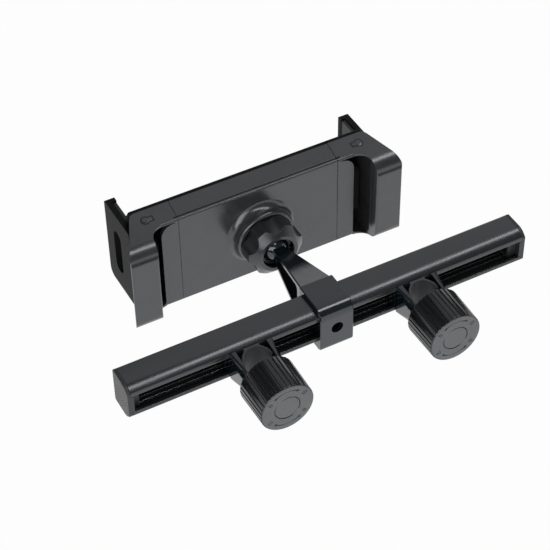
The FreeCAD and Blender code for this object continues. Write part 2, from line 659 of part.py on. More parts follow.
def holder_back_shell():
    """The fixed middle of the holder: a drafted shell, open at both ends for the sliders."""
    wide = HOLDER_HALF_WIDTH
    inside = FRONT_HALF_HEIGHT - SIDE_WALL - 1
    body = prism_x(shell_section(), -wide, wide)
    body = body.cut(box(-wide - 1, wide + 1, SHELL_FLOOR_Y, COVER_Y + 1, -inside, inside))
    body = body.cut(rod_y(0, 0, BOSS_RIM_RADIUS, PANEL_Y - 1, SHELL_FLOOR_Y))
    web = FLANGE_Y + FLANGE_THICKNESS
    post = rod_y(-SPRING_ANCHOR_X, SPRING_Z, SPRING_POST_RADIUS, SHELL_FLOOR_Y - 0.5, SPRING_Y + 2)
    outer_edge = rack_line() + DEDENDUM + SLIDER_HEIGHT + SLIDER_GAP
    guide = box(-wide, wide, SHELL_FLOOR_Y - 0.5, SLIDER_Y + SLIDER_THICKNESS / 2, outer_edge, outer_edge + 1.2)
    body = fused(body, boss(), post, half_turned(post), guide, half_turned(guide))
    body = body.cut(rod_y(0, 0, COLLET_SCREW_RADIUS + 0.2, web - 1, SHELL_FLOOR_Y + 1))
    body = body.cut(rod_y(0, 0, COLLET_SCREW_HEAD_RADIUS + 0.2, web + BOSS_WEB, SHELL_FLOOR_Y + 1))
    return moved(body, y=BALL_Y)


def cover_section():
    """Section of the front plates, in line with the drafted shells."""
    high = top_at(FRONT_Y)
    return [(COVER_Y, FRONT_HALF_HEIGHT, 0), (FRONT_Y, high, 1.0), (FRONT_Y, -high, 1.0),
            (COVER_Y, -FRONT_HALF_HEIGHT, 0)]


def holder_front_cover():
    """Front plate of the fixed middle, with the boss that carries the pinion pin."""
    plate = prism_x(cover_section(), -HOLDER_HALF_WIDTH, HOLDER_HALF_WIDTH)
    boss_y = SLIDER_Y + SLIDER_THICKNESS + SLIDER_GAP
    plate = fused(plate, rod_y(0, 0, COVER_BOSS_RADIUS, boss_y, COVER_Y + 0.5))
    return moved(plate.cut(rod_y(0, 0, PIN_RADIUS, boss_y - 1, COVER_Y + 1.2)), y=BALL_Y)


def sheet_pad(x0, x1, half_height):
    """A flat rubber pad on the front face."""
    outline = [(x0, -half_height, 3.0), (x1, -half_height, 3.0), (x1, half_height, 3.0), (x0, half_height, 3.0)]
    return moved(prism_y(outline, FRONT_Y, FRONT_Y + PAD_THICKNESS), y=BALL_Y)


def grip():
    """Right grip: the end of the panel, the finger window and the flared block in one moulding."""
    top, foot = top_at(GRIP_BACK_Y), -top_at(GRIP_BACK_Y)
    block = [(GRIP_BACK_Y, top, GRIP_TOP_RADIUS), (GRIP_BACK_Y, foot, GRIP_FOOT_RADIUS),
             (COVER_Y, -FRONT_HALF_HEIGHT, 0), (COVER_Y, FRONT_HALF_HEIGHT, 0)]
    front_x = GRIP_OUTER_X - GRIP_FLARE
    step = GRIP_STEP_RADIUS
    plan = [(GRIP_INNER_X, GRIP_BACK_Y, 1.2), (GRIP_OUTER_X, GRIP_BACK_Y, 1.0),
            (front_x, COVER_Y, GRIP_CORNER_RADIUS), (SEAM_X, COVER_Y, 0), (SEAM_X, PANEL_Y, 0),
            (GRIP_INNER_X - 0.8, PANEL_Y, step)]
    high = FRONT_HALF_HEIGHT + 1
    body = prism_x(block, SEAM_X, GRIP_OUTER_X).common(prism_z(plan, -high, high))
    bead_end = WINDOW_X - PANEL_CORNER
    panel_end = prism_x(shell_section(), SEAM_X, bead_end)
    panel_end = panel_end.fuse(prism_x(shell_section(grooved=False), bead_end, GRIP_INNER_X))
    body = fused(body.cut(box(SEAM_X - 1, WINDOW_X, 0, COVER_Y + 1, -high, high)),
                 panel_end.common(box(SEAM_X, WINDOW_X, 0, COVER_Y, -high, high)))
    inside = FRONT_HALF_HEIGHT - SIDE_WALL - 1
    body = body.cut(box(SEAM_X - 1, WINDOW_X + WINDOW_WIDTH, SHELL_FLOOR_Y, COVER_Y + 1, -inside, inside))
    body = body.cut(prism_y(window_outline(), GRIP_BACK_Y - 1, SHELL_FLOOR_Y + 1))
    body = body.cut(grip_cavity())
    gap = HOOK_RECESS_CLEARANCE
    recess = box(HOOK_INNER_X - gap, GRIP_OUTER_X, HOOK_START_Y - gap, COVER_Y + 1,
                 -HOOK_HALF_HEIGHT - gap, HOOK_HALF_HEIGHT + gap)
    return moved(body.cut(recess), y=BALL_Y)


def window_outline():
    """The finger window; at its top it runs round the panel's corner into the groove of the bead."""
    far = WINDOW_X + WINDOW_WIDTH
    high = WINDOW_HALF_HEIGHT
    tail = WINDOW_X - PANEL_CORNER
    below = high - PANEL_CORNER_GAP
    return [(WINDOW_X, -high, 2.0), (far, -high, 2.0), (far, high, 2.0), (tail, high, 0), (tail, below, 0),
            (WINDOW_X, below, PANEL_CORNER - PANEL_CORNER_GAP)]


def grip_cavity():
    """The hollow behind the walls of the grip's block, open to the front."""
    wall = GRIP_WALL
    back = GRIP_BACK_Y + wall
    high = top_at(GRIP_BACK_Y) - wall
    section = [(back, high, GRIP_TOP_RADIUS - wall), (back, -high, GRIP_FOOT_RADIUS - wall),
               (COVER_Y + 1, -high, 0), (COVER_Y + 1, high, 0)]
    x0 = WINDOW_X + WINDOW_WIDTH + wall
    x1 = HOOK_INNER_X - wall
    plan = sharp([(x0, back), (GRIP_OUTER_X - wall - 2, back), (x1, HOOK_START_Y - wall),
                  (x1, COVER_Y + 1), (x0, COVER_Y + 1)])
    return prism_x(section, x0, GRIP_OUTER_X).common(prism_z(plan, -high, high))


def hook_hole(grow):
    """Outline of the oblong hole in a hook."""
    hole_y = HOOK_TIP_Y - HOOK_HOLE_FROM_FRONT
    r = HOOK_HOLE_HALF_WIDTH + grow
    h = HOOK_HOLE_HALF_HEIGHT + grow
    corner = r - 0.01
    return [(hole_y - r, -h, corner), (hole_y + r, -h, corner), (hole_y + r, h, corner),
            (hole_y - r, h, corner)]


def hook_bracket():
    """Right bracket: front plate, upright hook plate with lip and hole, and the tab in the window."""
    end_x = HOOK_INNER_X + 0.5
    edge = FRONT_HALF_HEIGHT + 2
    outline = [(SEAM_X, -edge, 0), (end_x, -edge, FRONT_CORNER_RADIUS), (end_x, edge, FRONT_CORNER_RADIUS),
               (SEAM_X, edge, 0)]
    front = prism_x(cover_section(), SEAM_X, end_x).common(prism_y(outline, COVER_Y, FRONT_Y))
    plate = prism_x([(HOOK_START_Y, HOOK_HALF_HEIGHT, 1.0), (HOOK_TIP_Y, HOOK_HALF_HEIGHT, 1.0),
                     (HOOK_TIP_Y, -HOOK_HALF_HEIGHT, HOOK_FOOT_RADIUS), (HOOK_START_Y, -HOOK_HALF_HEIGHT, 1.0)],
                    HOOK_INNER_X - HOOK_LIP, HOOK_OUTER_X)
    high = HOOK_HALF_HEIGHT + 1
    plate = plate.cut(box(0, HOOK_INNER_X, 0, HOOK_TIP_Y - HOOK_LIP_DEPTH, -high, high))
    plate = plate.cut(prism_x(hook_hole(0.0), HOOK_INNER_X - 1, HOOK_OUTER_X + 1))
    tab = prism_x(sharp([(COVER_Y + 0.5, TAB_LOW_Z), (SHELL_FLOOR_Y + TAB_CHAMFER, TAB_LOW_Z),
                         (SHELL_FLOOR_Y, TAB_LOW_Z + TAB_CHAMFER), (SHELL_FLOOR_Y, TAB_HIGH_Z - TAB_CHAMFER),
                         (SHELL_FLOOR_Y + TAB_CHAMFER, TAB_HIGH_Z), (COVER_Y + 0.5, TAB_HIGH_Z)]),
                  TAB_X, TAB_X + TAB_WIDTH)
    return moved(fused(front, plate, tab), y=BALL_Y)


def hook_pad():
    """Rubber pad on the inner face of the right hook."""
    y0, y1 = FRONT_Y + PAD_THICKNESS + 0.2, HOOK_TIP_Y - HOOK_LIP_DEPTH - 0.1
    high = HOOK_PAD_HALF_HEIGHT
    outline = [(y0, high, 0.6), (y1, high, 0.6), (y1, -high, HOOK_FOOT_RADIUS), (y0, -high, 0.6)]
    pad = prism_x(outline, HOOK_INNER_X - HOOK_PAD_THICKNESS, HOOK_INNER_X)
    return moved(pad.cut(prism_x(hook_hole(HOOK_PAD_HOLE_EDGE), 0, HOOK_OUTER_X)), y=BALL_Y)


# Mechanism inside the holder

def rack_line():
    """Height of the rack's pitch line above the pinion axis."""
    return PITCH_RADIUS


def slider():
    """Right slider: a bar with rack teeth below and a block that is fixed to the bracket."""
    root = rack_line() + DEDENDUM
    tip = rack_line() - ADDENDUM
    slope = math.tan(PRESSURE_ANGLE)
    half_pitch_width = (RACK_PITCH / 2 - BACKLASH) / 2
    at_tip = half_pitch_width - ADDENDUM * slope
    at_root = half_pitch_width + DEDENDUM * slope
    count = int((SLIDER_END_X - 1) / RACK_PITCH)
    teeth_right = int(RACK_END_X / RACK_PITCH)
    y0, y1 = SLIDER_Y, SLIDER_Y + SLIDER_THICKNESS
    bar = box(-SLIDER_END_X, SLIDER_BLOCK_X + 1, y0, y1, root, root + SLIDER_HEIGHT)
    teeth = []
    for i in range(-count, teeth_right):
        x = (i + 0.5) * RACK_PITCH
        teeth.append(prism_y(sharp([(x - at_root, root + 0.1), (x - at_tip, tip), (x + at_tip, tip),
                                    (x + at_root, root + 0.1)]), y0, y1))
    block = box(SLIDER_BLOCK_X, SLIDER_BLOCK_X + SLIDER_BLOCK_WIDTH, y0, COVER_Y, root, root + SLIDER_HEIGHT)
    ear_x = SLIDER_BLOCK_X + EAR_WIDTH / 2
    ear = box(SLIDER_BLOCK_X, SLIDER_BLOCK_X + EAR_WIDTH, y0, y0 + EAR_THICKNESS,
              root + SLIDER_HEIGHT - 1, SPRING_Z + EAR_WIDTH / 2)
    post = rod_y(ear_x, SPRING_Z, SPRING_POST_RADIUS, y0 + 1, SPRING_Y + 2)
    return moved(fused(bar, block, ear, post, *teeth), y=BALL_Y)


def sync_pinion():
    """Pinion with involute teeth between the two racks."""
    base = PITCH_RADIUS * math.cos(PRESSURE_ANGLE)
    tip = PITCH_RADIUS + ADDENDUM
    root = PITCH_RADIUS - DEDENDUM - 0.05
    half_at_pitch = (RACK_PITCH / 2 - BACKLASH) / 2 / PITCH_RADIUS

    def half_angle(radius):
        angle = math.acos(min(1.0, base / radius))
        involute = math.tan(angle) - angle
        return half_at_pitch + math.tan(PRESSURE_ANGLE) - PRESSURE_ANGLE - involute

    flank = [(r, half_angle(r)) for r in (base + (tip - base) * i / 4 for i in range(5))]
    side = [(root, half_angle(base))] + flank
    outline = []
    for tooth in range(PINION_TEETH):
        middle = math.pi / 2 + 2 * math.pi * tooth / PINION_TEETH
        outline += [(r * math.cos(middle - a), r * math.sin(middle - a)) for r, a in side]
        outline += [(r * math.cos(middle + a), r * math.sin(middle + a)) for r, a in reversed(side)]
    gear = prism_y(sharp(outline), SLIDER_Y + 0.2, SLIDER_Y + SLIDER_THICKNESS)
    return moved(gear.cut(rod_y(0, 0, PIN_RADIUS + PIN_CLEARANCE, SLIDER_Y, COVER_Y)), y=BALL_Y)


def pinion_pin():
    start = SLIDER_Y - SLIDER_GAP + 0.1
    return moved(rod_y(0, 0, PIN_RADIUS, start, COVER_Y + 1.2), y=BALL_Y)


def return_spring():
    """Extension spring of the right slider, with an eye round each post."""
    x0 = -SPRING_ANCHOR_X
    x1 = SLIDER_BLOCK_X + EAR_WIDTH / 2
    coil0, coil1 = x0 + SPRING_END, x1 - SPRING_END
    step = (coil1 - coil0) / SPRING_RIDGES
    valley = SPRING_RADIUS - SPRING_WIRE
    profile = [V(coil0, 0, 0)]
    for i in range(SPRING_RIDGES):
        profile += [V(coil0 + i * step, valley, 0), V(coil0 + (i + 0.5) * step, SPRING_RADIUS, 0)]
    profile += [V(coil1, valley, 0), V(coil1, 0, 0), V(coil0, 0, 0)]
    coil = Part.Face(Part.makePolygon(profile)).revolve(V(0, 0, 0), X_AXIS, 360)
    eye_hole = SPRING_POST_RADIUS + SPRING_EYE_GAP
    eye_rim = eye_hole + SPRING_WIRE
    eyes = [turned_y([(eye_hole, -SPRING_WIRE / 2), (eye_rim, -SPRING_WIRE / 2), (eye_rim, SPRING_WIRE / 2),
                      (eye_hole, SPRING_WIRE / 2)], x=x) for x in (x0, x1)]
    wire = SPRING_WIRE / 2
    links = [box(x0 + eye_hole + wire, coil0 + wire, -wire, wire, -wire, wire),
             box(coil1 - wire, x1 - eye_hole - wire, -wire, wire, -wire, wire)]
    return moved(fused(coil, *eyes, *links), y=BALL_Y + SPRING_Y, z=SPRING_Z)


def build():
    """All nodes by name."""
    nodes = {"rail": rail(), "end_cap_right": end_cap(), "end_cap_left": mirrored(end_cap())}
    nodes["ball_arm"] = ball_arm()
    nodes["arm_screw"] = arm_screw()
    clamp_pieces = {"clamp_yoke": clamp_yoke(), "post_pad": post_pad(), "knob": knob(), "knob_plug": knob_plug()}
    for side, sign in (("left", -1), ("right", 1)):
        for name, piece in clamp_pieces.items():
            nodes[f"{name}_{side}"] = moved(piece, x=sign * CLAMP_X)
    nodes["socket_liner"] = socket_liner()
    nodes["ball_collet"] = ball_collet()
    nodes["locking_nut"] = locking_nut()
    nodes["collet_screw"] = collet_screw()
    nodes["holder_back_shell"] = holder_back_shell()
    nodes["holder_front_cover"] = holder_front_cover()
    nodes["centre_pad"] = sheet_pad(-HOLDER_HALF_WIDTH + 4, HOLDER_HALF_WIDTH - 4, FRONT_PAD_HALF_HEIGHT)
    handed = {"grip": grip(), "hook_bracket": hook_bracket(), "hook_pad": hook_pad(),
              "front_pad": sheet_pad(SEAM_X + 3, HOOK_INNER_X - 3, FRONT_PAD_HALF_HEIGHT)}
    for name, piece in handed.items():
        nodes[f"{name}_right"] = piece
        nodes[f"{name}_left"] = mirrored(piece)
    turned = {"slider": slider(), "return_spring": return_spring()}
    for name, piece in turned.items():
        nodes[f"{name}_right"] = piece
        nodes[f"{name}_left"] = half_turned(piece)
    nodes["sync_pinion"] = sync_pinion()
    nodes["pinion_pin"] = pinion_pin()
    return nodes


def main():
    os.makedirs("parts", exist_ok=True)
    for name, shape in build().items():
        shape.exportStep(f"parts/{name}.step")
        print(name, len(shape.Solids), round(shape.Volume, 1), shape.isValid())


main()
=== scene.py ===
"""Looks of the headrest tablet mount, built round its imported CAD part.

The lengths of shapes are in millimetres until a mesh is made. Camera, stage, lamps and the
patterns of materials are in metres. The frame is the part's own: X along the rail, +Y to the
tablet, +Z up, with the origin between the headrest posts.
"""
import math

import bmesh
import bpy
from mathutils import Matrix, Vector
from mathutils.geometry import delaunay_2d_cdt


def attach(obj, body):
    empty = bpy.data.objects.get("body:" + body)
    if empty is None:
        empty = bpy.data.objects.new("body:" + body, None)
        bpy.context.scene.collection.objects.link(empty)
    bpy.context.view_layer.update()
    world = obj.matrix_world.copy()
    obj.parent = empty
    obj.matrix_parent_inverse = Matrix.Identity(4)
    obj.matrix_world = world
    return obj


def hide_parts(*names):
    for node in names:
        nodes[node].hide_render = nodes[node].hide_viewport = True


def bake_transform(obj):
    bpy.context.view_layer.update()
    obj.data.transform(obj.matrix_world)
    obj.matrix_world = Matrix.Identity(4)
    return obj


MM = 0.001
MERGE_DISTANCE = 1e-4
SMOOTH_ANGLE = 35.0
SIDES = (("left", -1), ("right", 1))
RING_STEPS = 48
TURN = [2 * math.pi * i / RING_STEPS for i in range(RING_STEPS)]

# Camera of the photograph
CAMERA_PLACE = (-0.333248, -0.561312, 0.679569)
CAMERA_AZIMUTH = math.radians(-27.6)
CAMERA_ELEVATION = math.radians(44.24)
CAMERA_ROLL = math.radians(-1.1)
CAMERA_LENS = 117.5
CAMERA_SENSOR = 36.0
CAMERA_NEAR = 0.01
CAMERA_FAR = 50.0

# Stage, and lamps as (place, width, depth, power in watts)
FLOOR_Z = -0.16
FLOOR_RADIUS = 5.0
BACKDROP_RADIUS = 5.4
BACKDROP_HEIGHT = 1.3
FLOOR_COLOUR = (0.9, 0.9, 0.9)
FLOOR_GLOW = 0.97
WORLD_STRENGTH = 0.11
LAMPS = {
    "front_lamp": ((-0.75, -1.05, 0.30), 1.3, 0.9, 9.0),
    "top_strip": ((0.38, -0.30, 1.06), 1.5, 0.20, 4.4),
    "back_lamp": ((0.62, 0.86, 1.48), 1.3, 1.55, 2.6),
    "side_lamp": ((0.75, 1.05, 0.42), 0.9, 0.4, 1.1),
}
LAMP_AIM = (0.0, 0.04, 0.0)

# All materials: tint of the shine, and the part of a 0 to 1 pattern that is used
SHINE_TINT = (0.93, 0.955, 1.0)
PATTERN_RANGE = (0.3, 0.7)
TONE_STOPS = (0.32, 0.68)

# Plastics: darker tone, lighter tone, roughness from and to, size and depth of the grain, shine
PLASTICS = {
    "holder_shell": ((0.032, 0.0325, 0.0345), (0.040, 0.0405, 0.043), (0.19, 0.25),
                     0.00032, 0.000008, 1.0),
    "bracket_plastic": ((0.006, 0.0065, 0.007), (0.010, 0.0105, 0.011), (0.50, 0.60),
                        0.00035, 0.000014, 0.09),
    "glossy_moulding": ((0.004, 0.008, 0.011), (0.006, 0.011, 0.014), (0.11, 0.16),
                        0.0012, 0.000003, 1.0),
    "knob_plastic": ((0.004, 0.0045, 0.005), (0.007, 0.0075, 0.008), (0.18, 0.24),
                     0.0003, 0.000006, 0.8),
    "knob_face": ((0.088, 0.092, 0.097), (0.102, 0.106, 0.111), (0.36, 0.44),
                  0.00028, 0.000012, 0.9),
    # Near-black marks in the knobs' faces; the same tone is the painted shade in the joint round each
    # grip's sign
    "mark_and_painted_joint_shade": ((0.006, 0.006, 0.007), (0.010, 0.010, 0.011), (0.45, 0.55),
                  0.0003, 0.000008, 0.5),
    "nut_plastic": ((0.014, 0.0145, 0.016), (0.020, 0.0205, 0.022), (0.28, 0.35),
                    0.0003, 0.000010, 0.9),
    "collet_plastic": ((0.010, 0.010, 0.011), (0.016, 0.016, 0.017), (0.30, 0.40),
                       0.0003, 0.000008, 0.5),
    "liner_plastic": ((0.10, 0.10, 0.10), (0.14, 0.14, 0.14), (0.40, 0.50),
                      0.0003, 0.000008, 0.5),
    "slider_plastic": ((0.020, 0.021, 0.022), (0.030, 0.031, 0.032), (0.30, 0.40),
                       0.0003, 0.000008, 0.5),
    "gear_plastic": ((0.55, 0.54, 0.50), (0.62, 0.61, 0.57), (0.35, 0.45),
                     0.0003, 0.000006, 0.5),
}
CLOUD_SIZE = 0.014
SHEEN_SPOTS = 3
SINK_DEPTH = 0.00004
SINK_STRENGTH = 0.25

# Anodised rail
RAIL_TONES = ((0.014, 0.015, 0.016), (0.020, 0.021, 0.023))
RAIL_ROUGH = 0.24
RAIL_ROUGH_RANGE = (0.21, 0.26)
RAIL_CLOUD = 0.006
RAIL_CLOUD_STRETCH = (0.2, 1.0, 1.0)
DRAW_LINE = 0.00035
DRAW_LINE_STRETCH = (0.012, 1.0, 1.0)
DRAW_LINE_DEPTH = 0.000006

# End caps
CAP_TONES = ((0.026, 0.0265, 0.028), (0.034, 0.0345, 0.036))
CAP_ROUGH = 0.40
CAP_CLOUD = 0.008
CAP_GRAIN = 0.0004
CAP_GRAIN_DEPTH = 0.000008
CAP_GROOVE_TURNS = (45.0, -45.0)
CAP_WAVES = 240.0
CAP_RELIEF = 0.00018
CAP_FACE_LIMIT = 0.95

# Rubbers: darker tone, lighter tone
RUBBERS = {
    "pad_rubber": ((0.034, 0.034, 0.036), (0.046, 0.046, 0.049)),
    "dark_rubber": ((0.010, 0.010, 0.011), (0.017, 0.017, 0.018)),
}
RUBBER_ROUGH = 0.5
RUBBER_ROUGH_RANGE = (0.42, 0.56)
RUBBER_SHEEN = 0.12
RUBBER_SHEEN_ROUGH = 0.5
RUBBER_CLOUD = 0.004
RUBBER_GRAIN = 0.0003
RUBBER_GRAIN_DEPTH = 0.00002

# Steels: tone, roughness
STEELS = {
    # painted_rib_highlight is a light steel tone on the crests of the rail's lower ribs: a painted
    # highlight where light would catch them
    "painted_rib_highlight": ((0.34, 0.345, 0.35), 0.30),
    "screw_steel": ((0.20, 0.20, 0.21), 0.32),
    "spring_steel": ((0.42, 0.42, 0.43), 0.26),
}
STEEL_LIGHTER = 1.35
STEEL_SMOOTHER = 0.06
STEEL_ROUGHER = 0.08
STEEL_CLOUD = 0.002
STEEL_MARK = 0.0002
STEEL_MARK_STRETCH = (0.1, 1.0, 0.1)
STEEL_MARK_DEPTH = 0.000004

# CAD nodes that stay: material and width of the rounded edges
ROUNDED_NODES = {
    "ball_arm": ("glossy_moulding", 0.7),
    "arm_screw": ("screw_steel", 0.15),
    "end_cap_left": ("end_cap_plastic", 0.35),
    "end_cap_right": ("end_cap_plastic", 0.35),
    "socket_liner": ("liner_plastic", 0.1),
    "ball_collet": ("collet_plastic", 0.2),
    "locking_nut": ("nut_plastic", 0.5),
    "collet_screw": ("screw_steel", 0.2),
    "holder_back_shell": ("holder_shell", 0.25),
    "holder_front_cover": ("bracket_plastic", 0.3),
    "centre_pad": ("dark_rubber", 0.4),
    "sync_pinion": ("gear_plastic", 0.08),
    "pinion_pin": ("screw_steel", 0.15),
}
HANDED_NODES = {
    "post_pad": ("pad_rubber", 0.25),
    "knob_plug": ("knob_face", 0.2),
    "grip": ("holder_shell", 0.4),
    "hook_bracket": ("bracket_plastic", 0.4),
    "hook_pad": ("dark_rubber", 0.4),
    "front_pad": ("dark_rubber", 0.4),
    "slider": ("slider_plastic", 0.12),
}
WELD_DISTANCE = 2e-6
FLAT_ANGLE = 0.6
EDGE_ANGLE = 30.0
EDGE_SEGMENTS = 3

# Clamps
CLAMP_X = 50.0
JAW_ROOT_Y = 8.9
JAW_TIP_Y = -20.8
JAW_INNER_X = 8.8
JAW_OUTER_X = 12.4
JAW_ROOT_HALF = 9.4
JAW_TIP_HALF = 6.0
JAW_TIP_ROUND = 1.8
JAW_TIP_CHAMFER = 0.5
JAW_TIP_CHAMFER_LENGTH = 0.6
JAW_EDGE_START = 0.93
JAW_EDGE_ROUND = 0.35
JAW_LEAST_WALL = 0.25
JAW_CHANNEL_HALF = 3.6
JAW_CHANNEL_DEPTH = 1.2
JAW_CHANNEL_SLOPE = 0.6
JAW_CHANNEL_TO_TIP = 1.5
JAW_CHANNEL_TO_ROOT = 3.7
JAW_STEPS_ACROSS = 22
JAW_STEPS_ALONG = 150
THREAD_RADIUS = 13.0
THREAD_DEPTH = 1.0
THREAD_PITCH = 2.95
THREAD_TEETH = 5
THREAD_START = 15.2
THREAD_CLEARANCE = 0.02
THREAD_OVERRUN = 0.2
THREAD_LAST_TURN = 0.2
THREAD_LEAD = 1.2
THREAD_LEAD_DEPTH = 0.7
TOOTH_STEEPNESS = 1.5
TOOTH_ROOT = 0.12
FLARE_START = 18.5
FLARE_RADIUS = 15.3
BASE_FRONT_Y = 11.7
BASE_BACK_Y = 15.7
BASE_HALF = 8.9
BASE_LOW_HALF = 7.0
BASE_SLOPE = 2.0
BASE_ROUND = 0.3
BASE_STEPS = 3
STEM_HALF = 5.5
STEM_IN_JAW = 0.5
STEM_IN_BASE = 1.0

# Knobs. The bore's mouth is (radius, depth), and each groove of its thread (depth, way along Y).
KNOB_RADIUS = 15.6
KNOB_FACE_RADIUS = 15.2
KNOB_FACE_ROUND = 0.7
KNOB_RIM_ROUND = 0.55
KNOB_RIM_Y = -8.0
KNOB_FACE_Y = -30.5
KNOB_BORE = 13.3
KNOB_BORE_START = 1.0
KNOB_INSIDE_Y = -28.1
KNOB_INSIDE_ROUND = 0.5
KNOB_HOLE = 7.25
KNOB_HOLE_CHAMFER = 0.25
KNOB_MOUTH = ((14.3, 0.0), (13.9, 0.12), (13.6, 0.4))
KNOB_GROOVE = ((0.0, 1.3), (0.6, 1.65), (0.6, 2.5), (0.0, 2.85))
KNOB_PLAIN_LENGTH = 5.0
KNOB_ARC_STEPS = 5
FLUTES = 36
FLUTE_DEPTH = 0.7
FLUTE_FLOOR_HALF = 0.26
FLUTE_TOP_HALF = 0.56
FLUTE_WALL_STEPS = 4

# Marks in the knobs' faces. Arrows are (middle, reach) and padlocks (middle, opened), in degrees.
# The padlock's boxes are (half width, lower edge, upper edge).
MARK_RADIUS = 11.7
MARK_DEPTH = 0.16
ARROWS = ((92.0, 30.0), (-91.0, 33.0))
ARROW_THIN_HALF = 0.10
ARROW_SWELL = 0.26
ARROW_HEAD_HALF = 0.95
ARROW_HEAD_TURN = 8.5
ARROW_STEPS = 14
PADLOCKS = ((34.0, True), (146.0, False), (-34.0, False), (-148.0, True))
PADLOCK_BODY = (0.95, -1.15, 0.25)
PADLOCK_WINDOW = (0.65, -0.85, -0.05)
SHACKLE_OUTER = 0.75
SHACKLE_INNER = 0.42
SHACKLE_CENTRE = 0.55
SHACKLE_LIFT = 0.35
SHACKLE_FOOT = 0.35
SHACKLE_OPEN_FOOT = 0.62
SHACKLE_STEPS = 8

# Rail. The corners of its ribs are (height, way along the wall, radius).
RAIL_HALF_LENGTH = 118.0
RAIL_FRONT_Y = 9.2
RAIL_BACK_Y = 27.2
RAIL_HALF_HEIGHT = 11.5
RAIL_FACE_HALF = 8.0
RAIL_BEVEL_Y = 13.4
RAIL_WALL = 2.2
RAIL_ROUND = 8.0
RAIL_BACK_ROUND = 1.5
RAIL_STEPS = 5
UPPER_LIP_ROUND = 3.2
LOWER_LIP_ROUND = 0.6
SLOT_HALF = 5.8
SLOT_ROUND = 0.45
CHANNEL_HALF = 9.3
CHANNEL_ROUND = 0.3
CHANNEL_SLOPE = 2.0
CHANNEL_SLOPE_ROUND = 0.4
SHOULDER_DROP = 0.6
BACK_RIBS_Z = (1.0, 3.4, 5.8)
BACK_RIB = ((0.0, 0.0, 0.1), (0.5, 0.3, 0.15), (0.5, 1.1, 0.15), (0.0, 1.4, 0.1))
FLOOR_RIBS_Y = (22.9, 19.9, 16.9)
FLOOR_RIB_HEIGHT = 0.9
FLOOR_RIB = ((0.0, 0.5, 0.1), (FLOOR_RIB_HEIGHT, 0.3, 0.25),
             (FLOOR_RIB_HEIGHT, -0.3, 0.25), (0.0, -0.5, 0.1))
# Crests of the lower ribs that get the painted highlight: from this Y on, within this band of height
CREST_START_Y = 15.0
CREST_BAND = (-0.01, 0.15)
LIP_LINES = (-7.4, -6.6)
LIP_LINE_HALF = 0.09
LIP_LINE_DEPTH = 0.15

# Boss of the screw in the arm. Its dome is (step in from the radius, distance from the end).
SCREW_BOSS_RADIUS = 3.3
SCREW_BOSS_FOOT = 0.2
SCREW_BOSS_START = 33.5
SCREW_BOSS_END = 39.6
SCREW_BOSS_DOME = ((0.0, 1.0), (0.15, 0.5), (0.5, 0.15), (1.0, 0.0))

# Signs on the grips. Their rings are (growth of the outline, lift over the grip's top).
SHELL_BACK_Y = 92.5
SHELL_BACK_HALF = 30.3
SHELL_DRAFT = 0.26
SIGN_X = 66.0
SIGN_Y = 98.6
SIGN_RADIUS = 1.9
SIGN_TAB_HALF = 1.0
SIGN_TAB_REACH = 4.2
# The flat ring between the second and third rings is painted dark as the joint's shade
SIGN_RINGS = ((0.8, -0.05), (0.8, 0.02), (0.0, 0.02), (0.0, 0.1), (-0.18, 0.16))
SIGN_STEPS = 24

# Springs between the holder's posts and the sliders' posts
SPRING_Y = 98.6
SPRING_Z = 24.0
SPRING_ANCHOR_X = -41.0
SPRING_EAR_X = 52.7
SPRING_LINK = 6.0
SPRING_WIRE = 0.3
SPRING_COIL = 2.1
SPRING_EYE = 1.8
SPRING_TURNS = 64
COIL_STEPS = 14
WIRE_SIDES = 6

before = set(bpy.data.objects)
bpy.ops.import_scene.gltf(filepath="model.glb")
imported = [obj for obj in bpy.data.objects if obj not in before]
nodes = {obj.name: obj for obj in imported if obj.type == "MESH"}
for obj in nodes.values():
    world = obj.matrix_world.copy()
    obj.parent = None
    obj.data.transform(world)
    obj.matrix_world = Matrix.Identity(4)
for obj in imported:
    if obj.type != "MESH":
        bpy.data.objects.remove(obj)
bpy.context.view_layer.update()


# Materials

def new_material(name, colour, roughness, metallic=0.0, specular=0.5):
    """A shader with its constant values, its node tree and the object's own coordinates."""
    material = bpy.data.materials.new(name)
    material.use_nodes = True
    tree = material.node_tree
    shader = tree.nodes["Principled BSDF"]
    shader.inputs["Base Color"].default_value = (*colour, 1.0)
    shader.inputs["Roughness"].default_value = roughness
    shader.inputs["Metallic"].default_value = metallic
    shader.inputs["Specular IOR Level"].default_value = specular
    shader.inputs["Specular Tint"].default_value = (*SHINE_TINT, 1.0)
    place = tree.nodes.new("ShaderNodeTexCoord").outputs["Object"]
    return material, tree, shader, place


def stretched(tree, place, scale):
    """Coordinates scaled by (x, y, z)."""
    mapping = tree.nodes.new("ShaderNodeMapping")
    mapping.inputs["Scale"].default_value = scale
    tree.links.new(place, mapping.inputs["Vector"])
    return mapping.outputs["Vector"]


def noise(tree, place, size, detail=2.0):
    """Noise with features of about that size in metres."""
    node = tree.nodes.new("ShaderNodeTexNoise")
    node.inputs["Scale"].default_value = 1.0 / size
    node.inputs["Detail"].default_value = detail
    tree.links.new(place, node.inputs["Vector"])
    return node.outputs["Fac"]


def cells(tree, place, size):
    """Rounded cells of about that size in metres, as spark eroded moulds leave them."""
    node = tree.nodes.new("ShaderNodeTexVoronoi")
    node.inputs["Scale"].default_value = 1.0 / size
    tree.links.new(place, node.inputs["Vector"])
    return node.outputs["Distance"]


def ranged(tree, value, low, high):
    """Maps the middle of a 0 to 1 pattern to low and high."""
    node = tree.nodes.new("ShaderNodeMapRange")
    node.inputs["From Min"].default_value = PATTERN_RANGE[0]
    node.inputs["From Max"].default_value = PATTERN_RANGE[1]
    node.inputs["To Min"].default_value = low
    node.inputs["To Max"].default_value = high
    tree.links.new(value, node.inputs["Value"])
    return node.outputs["Result"]


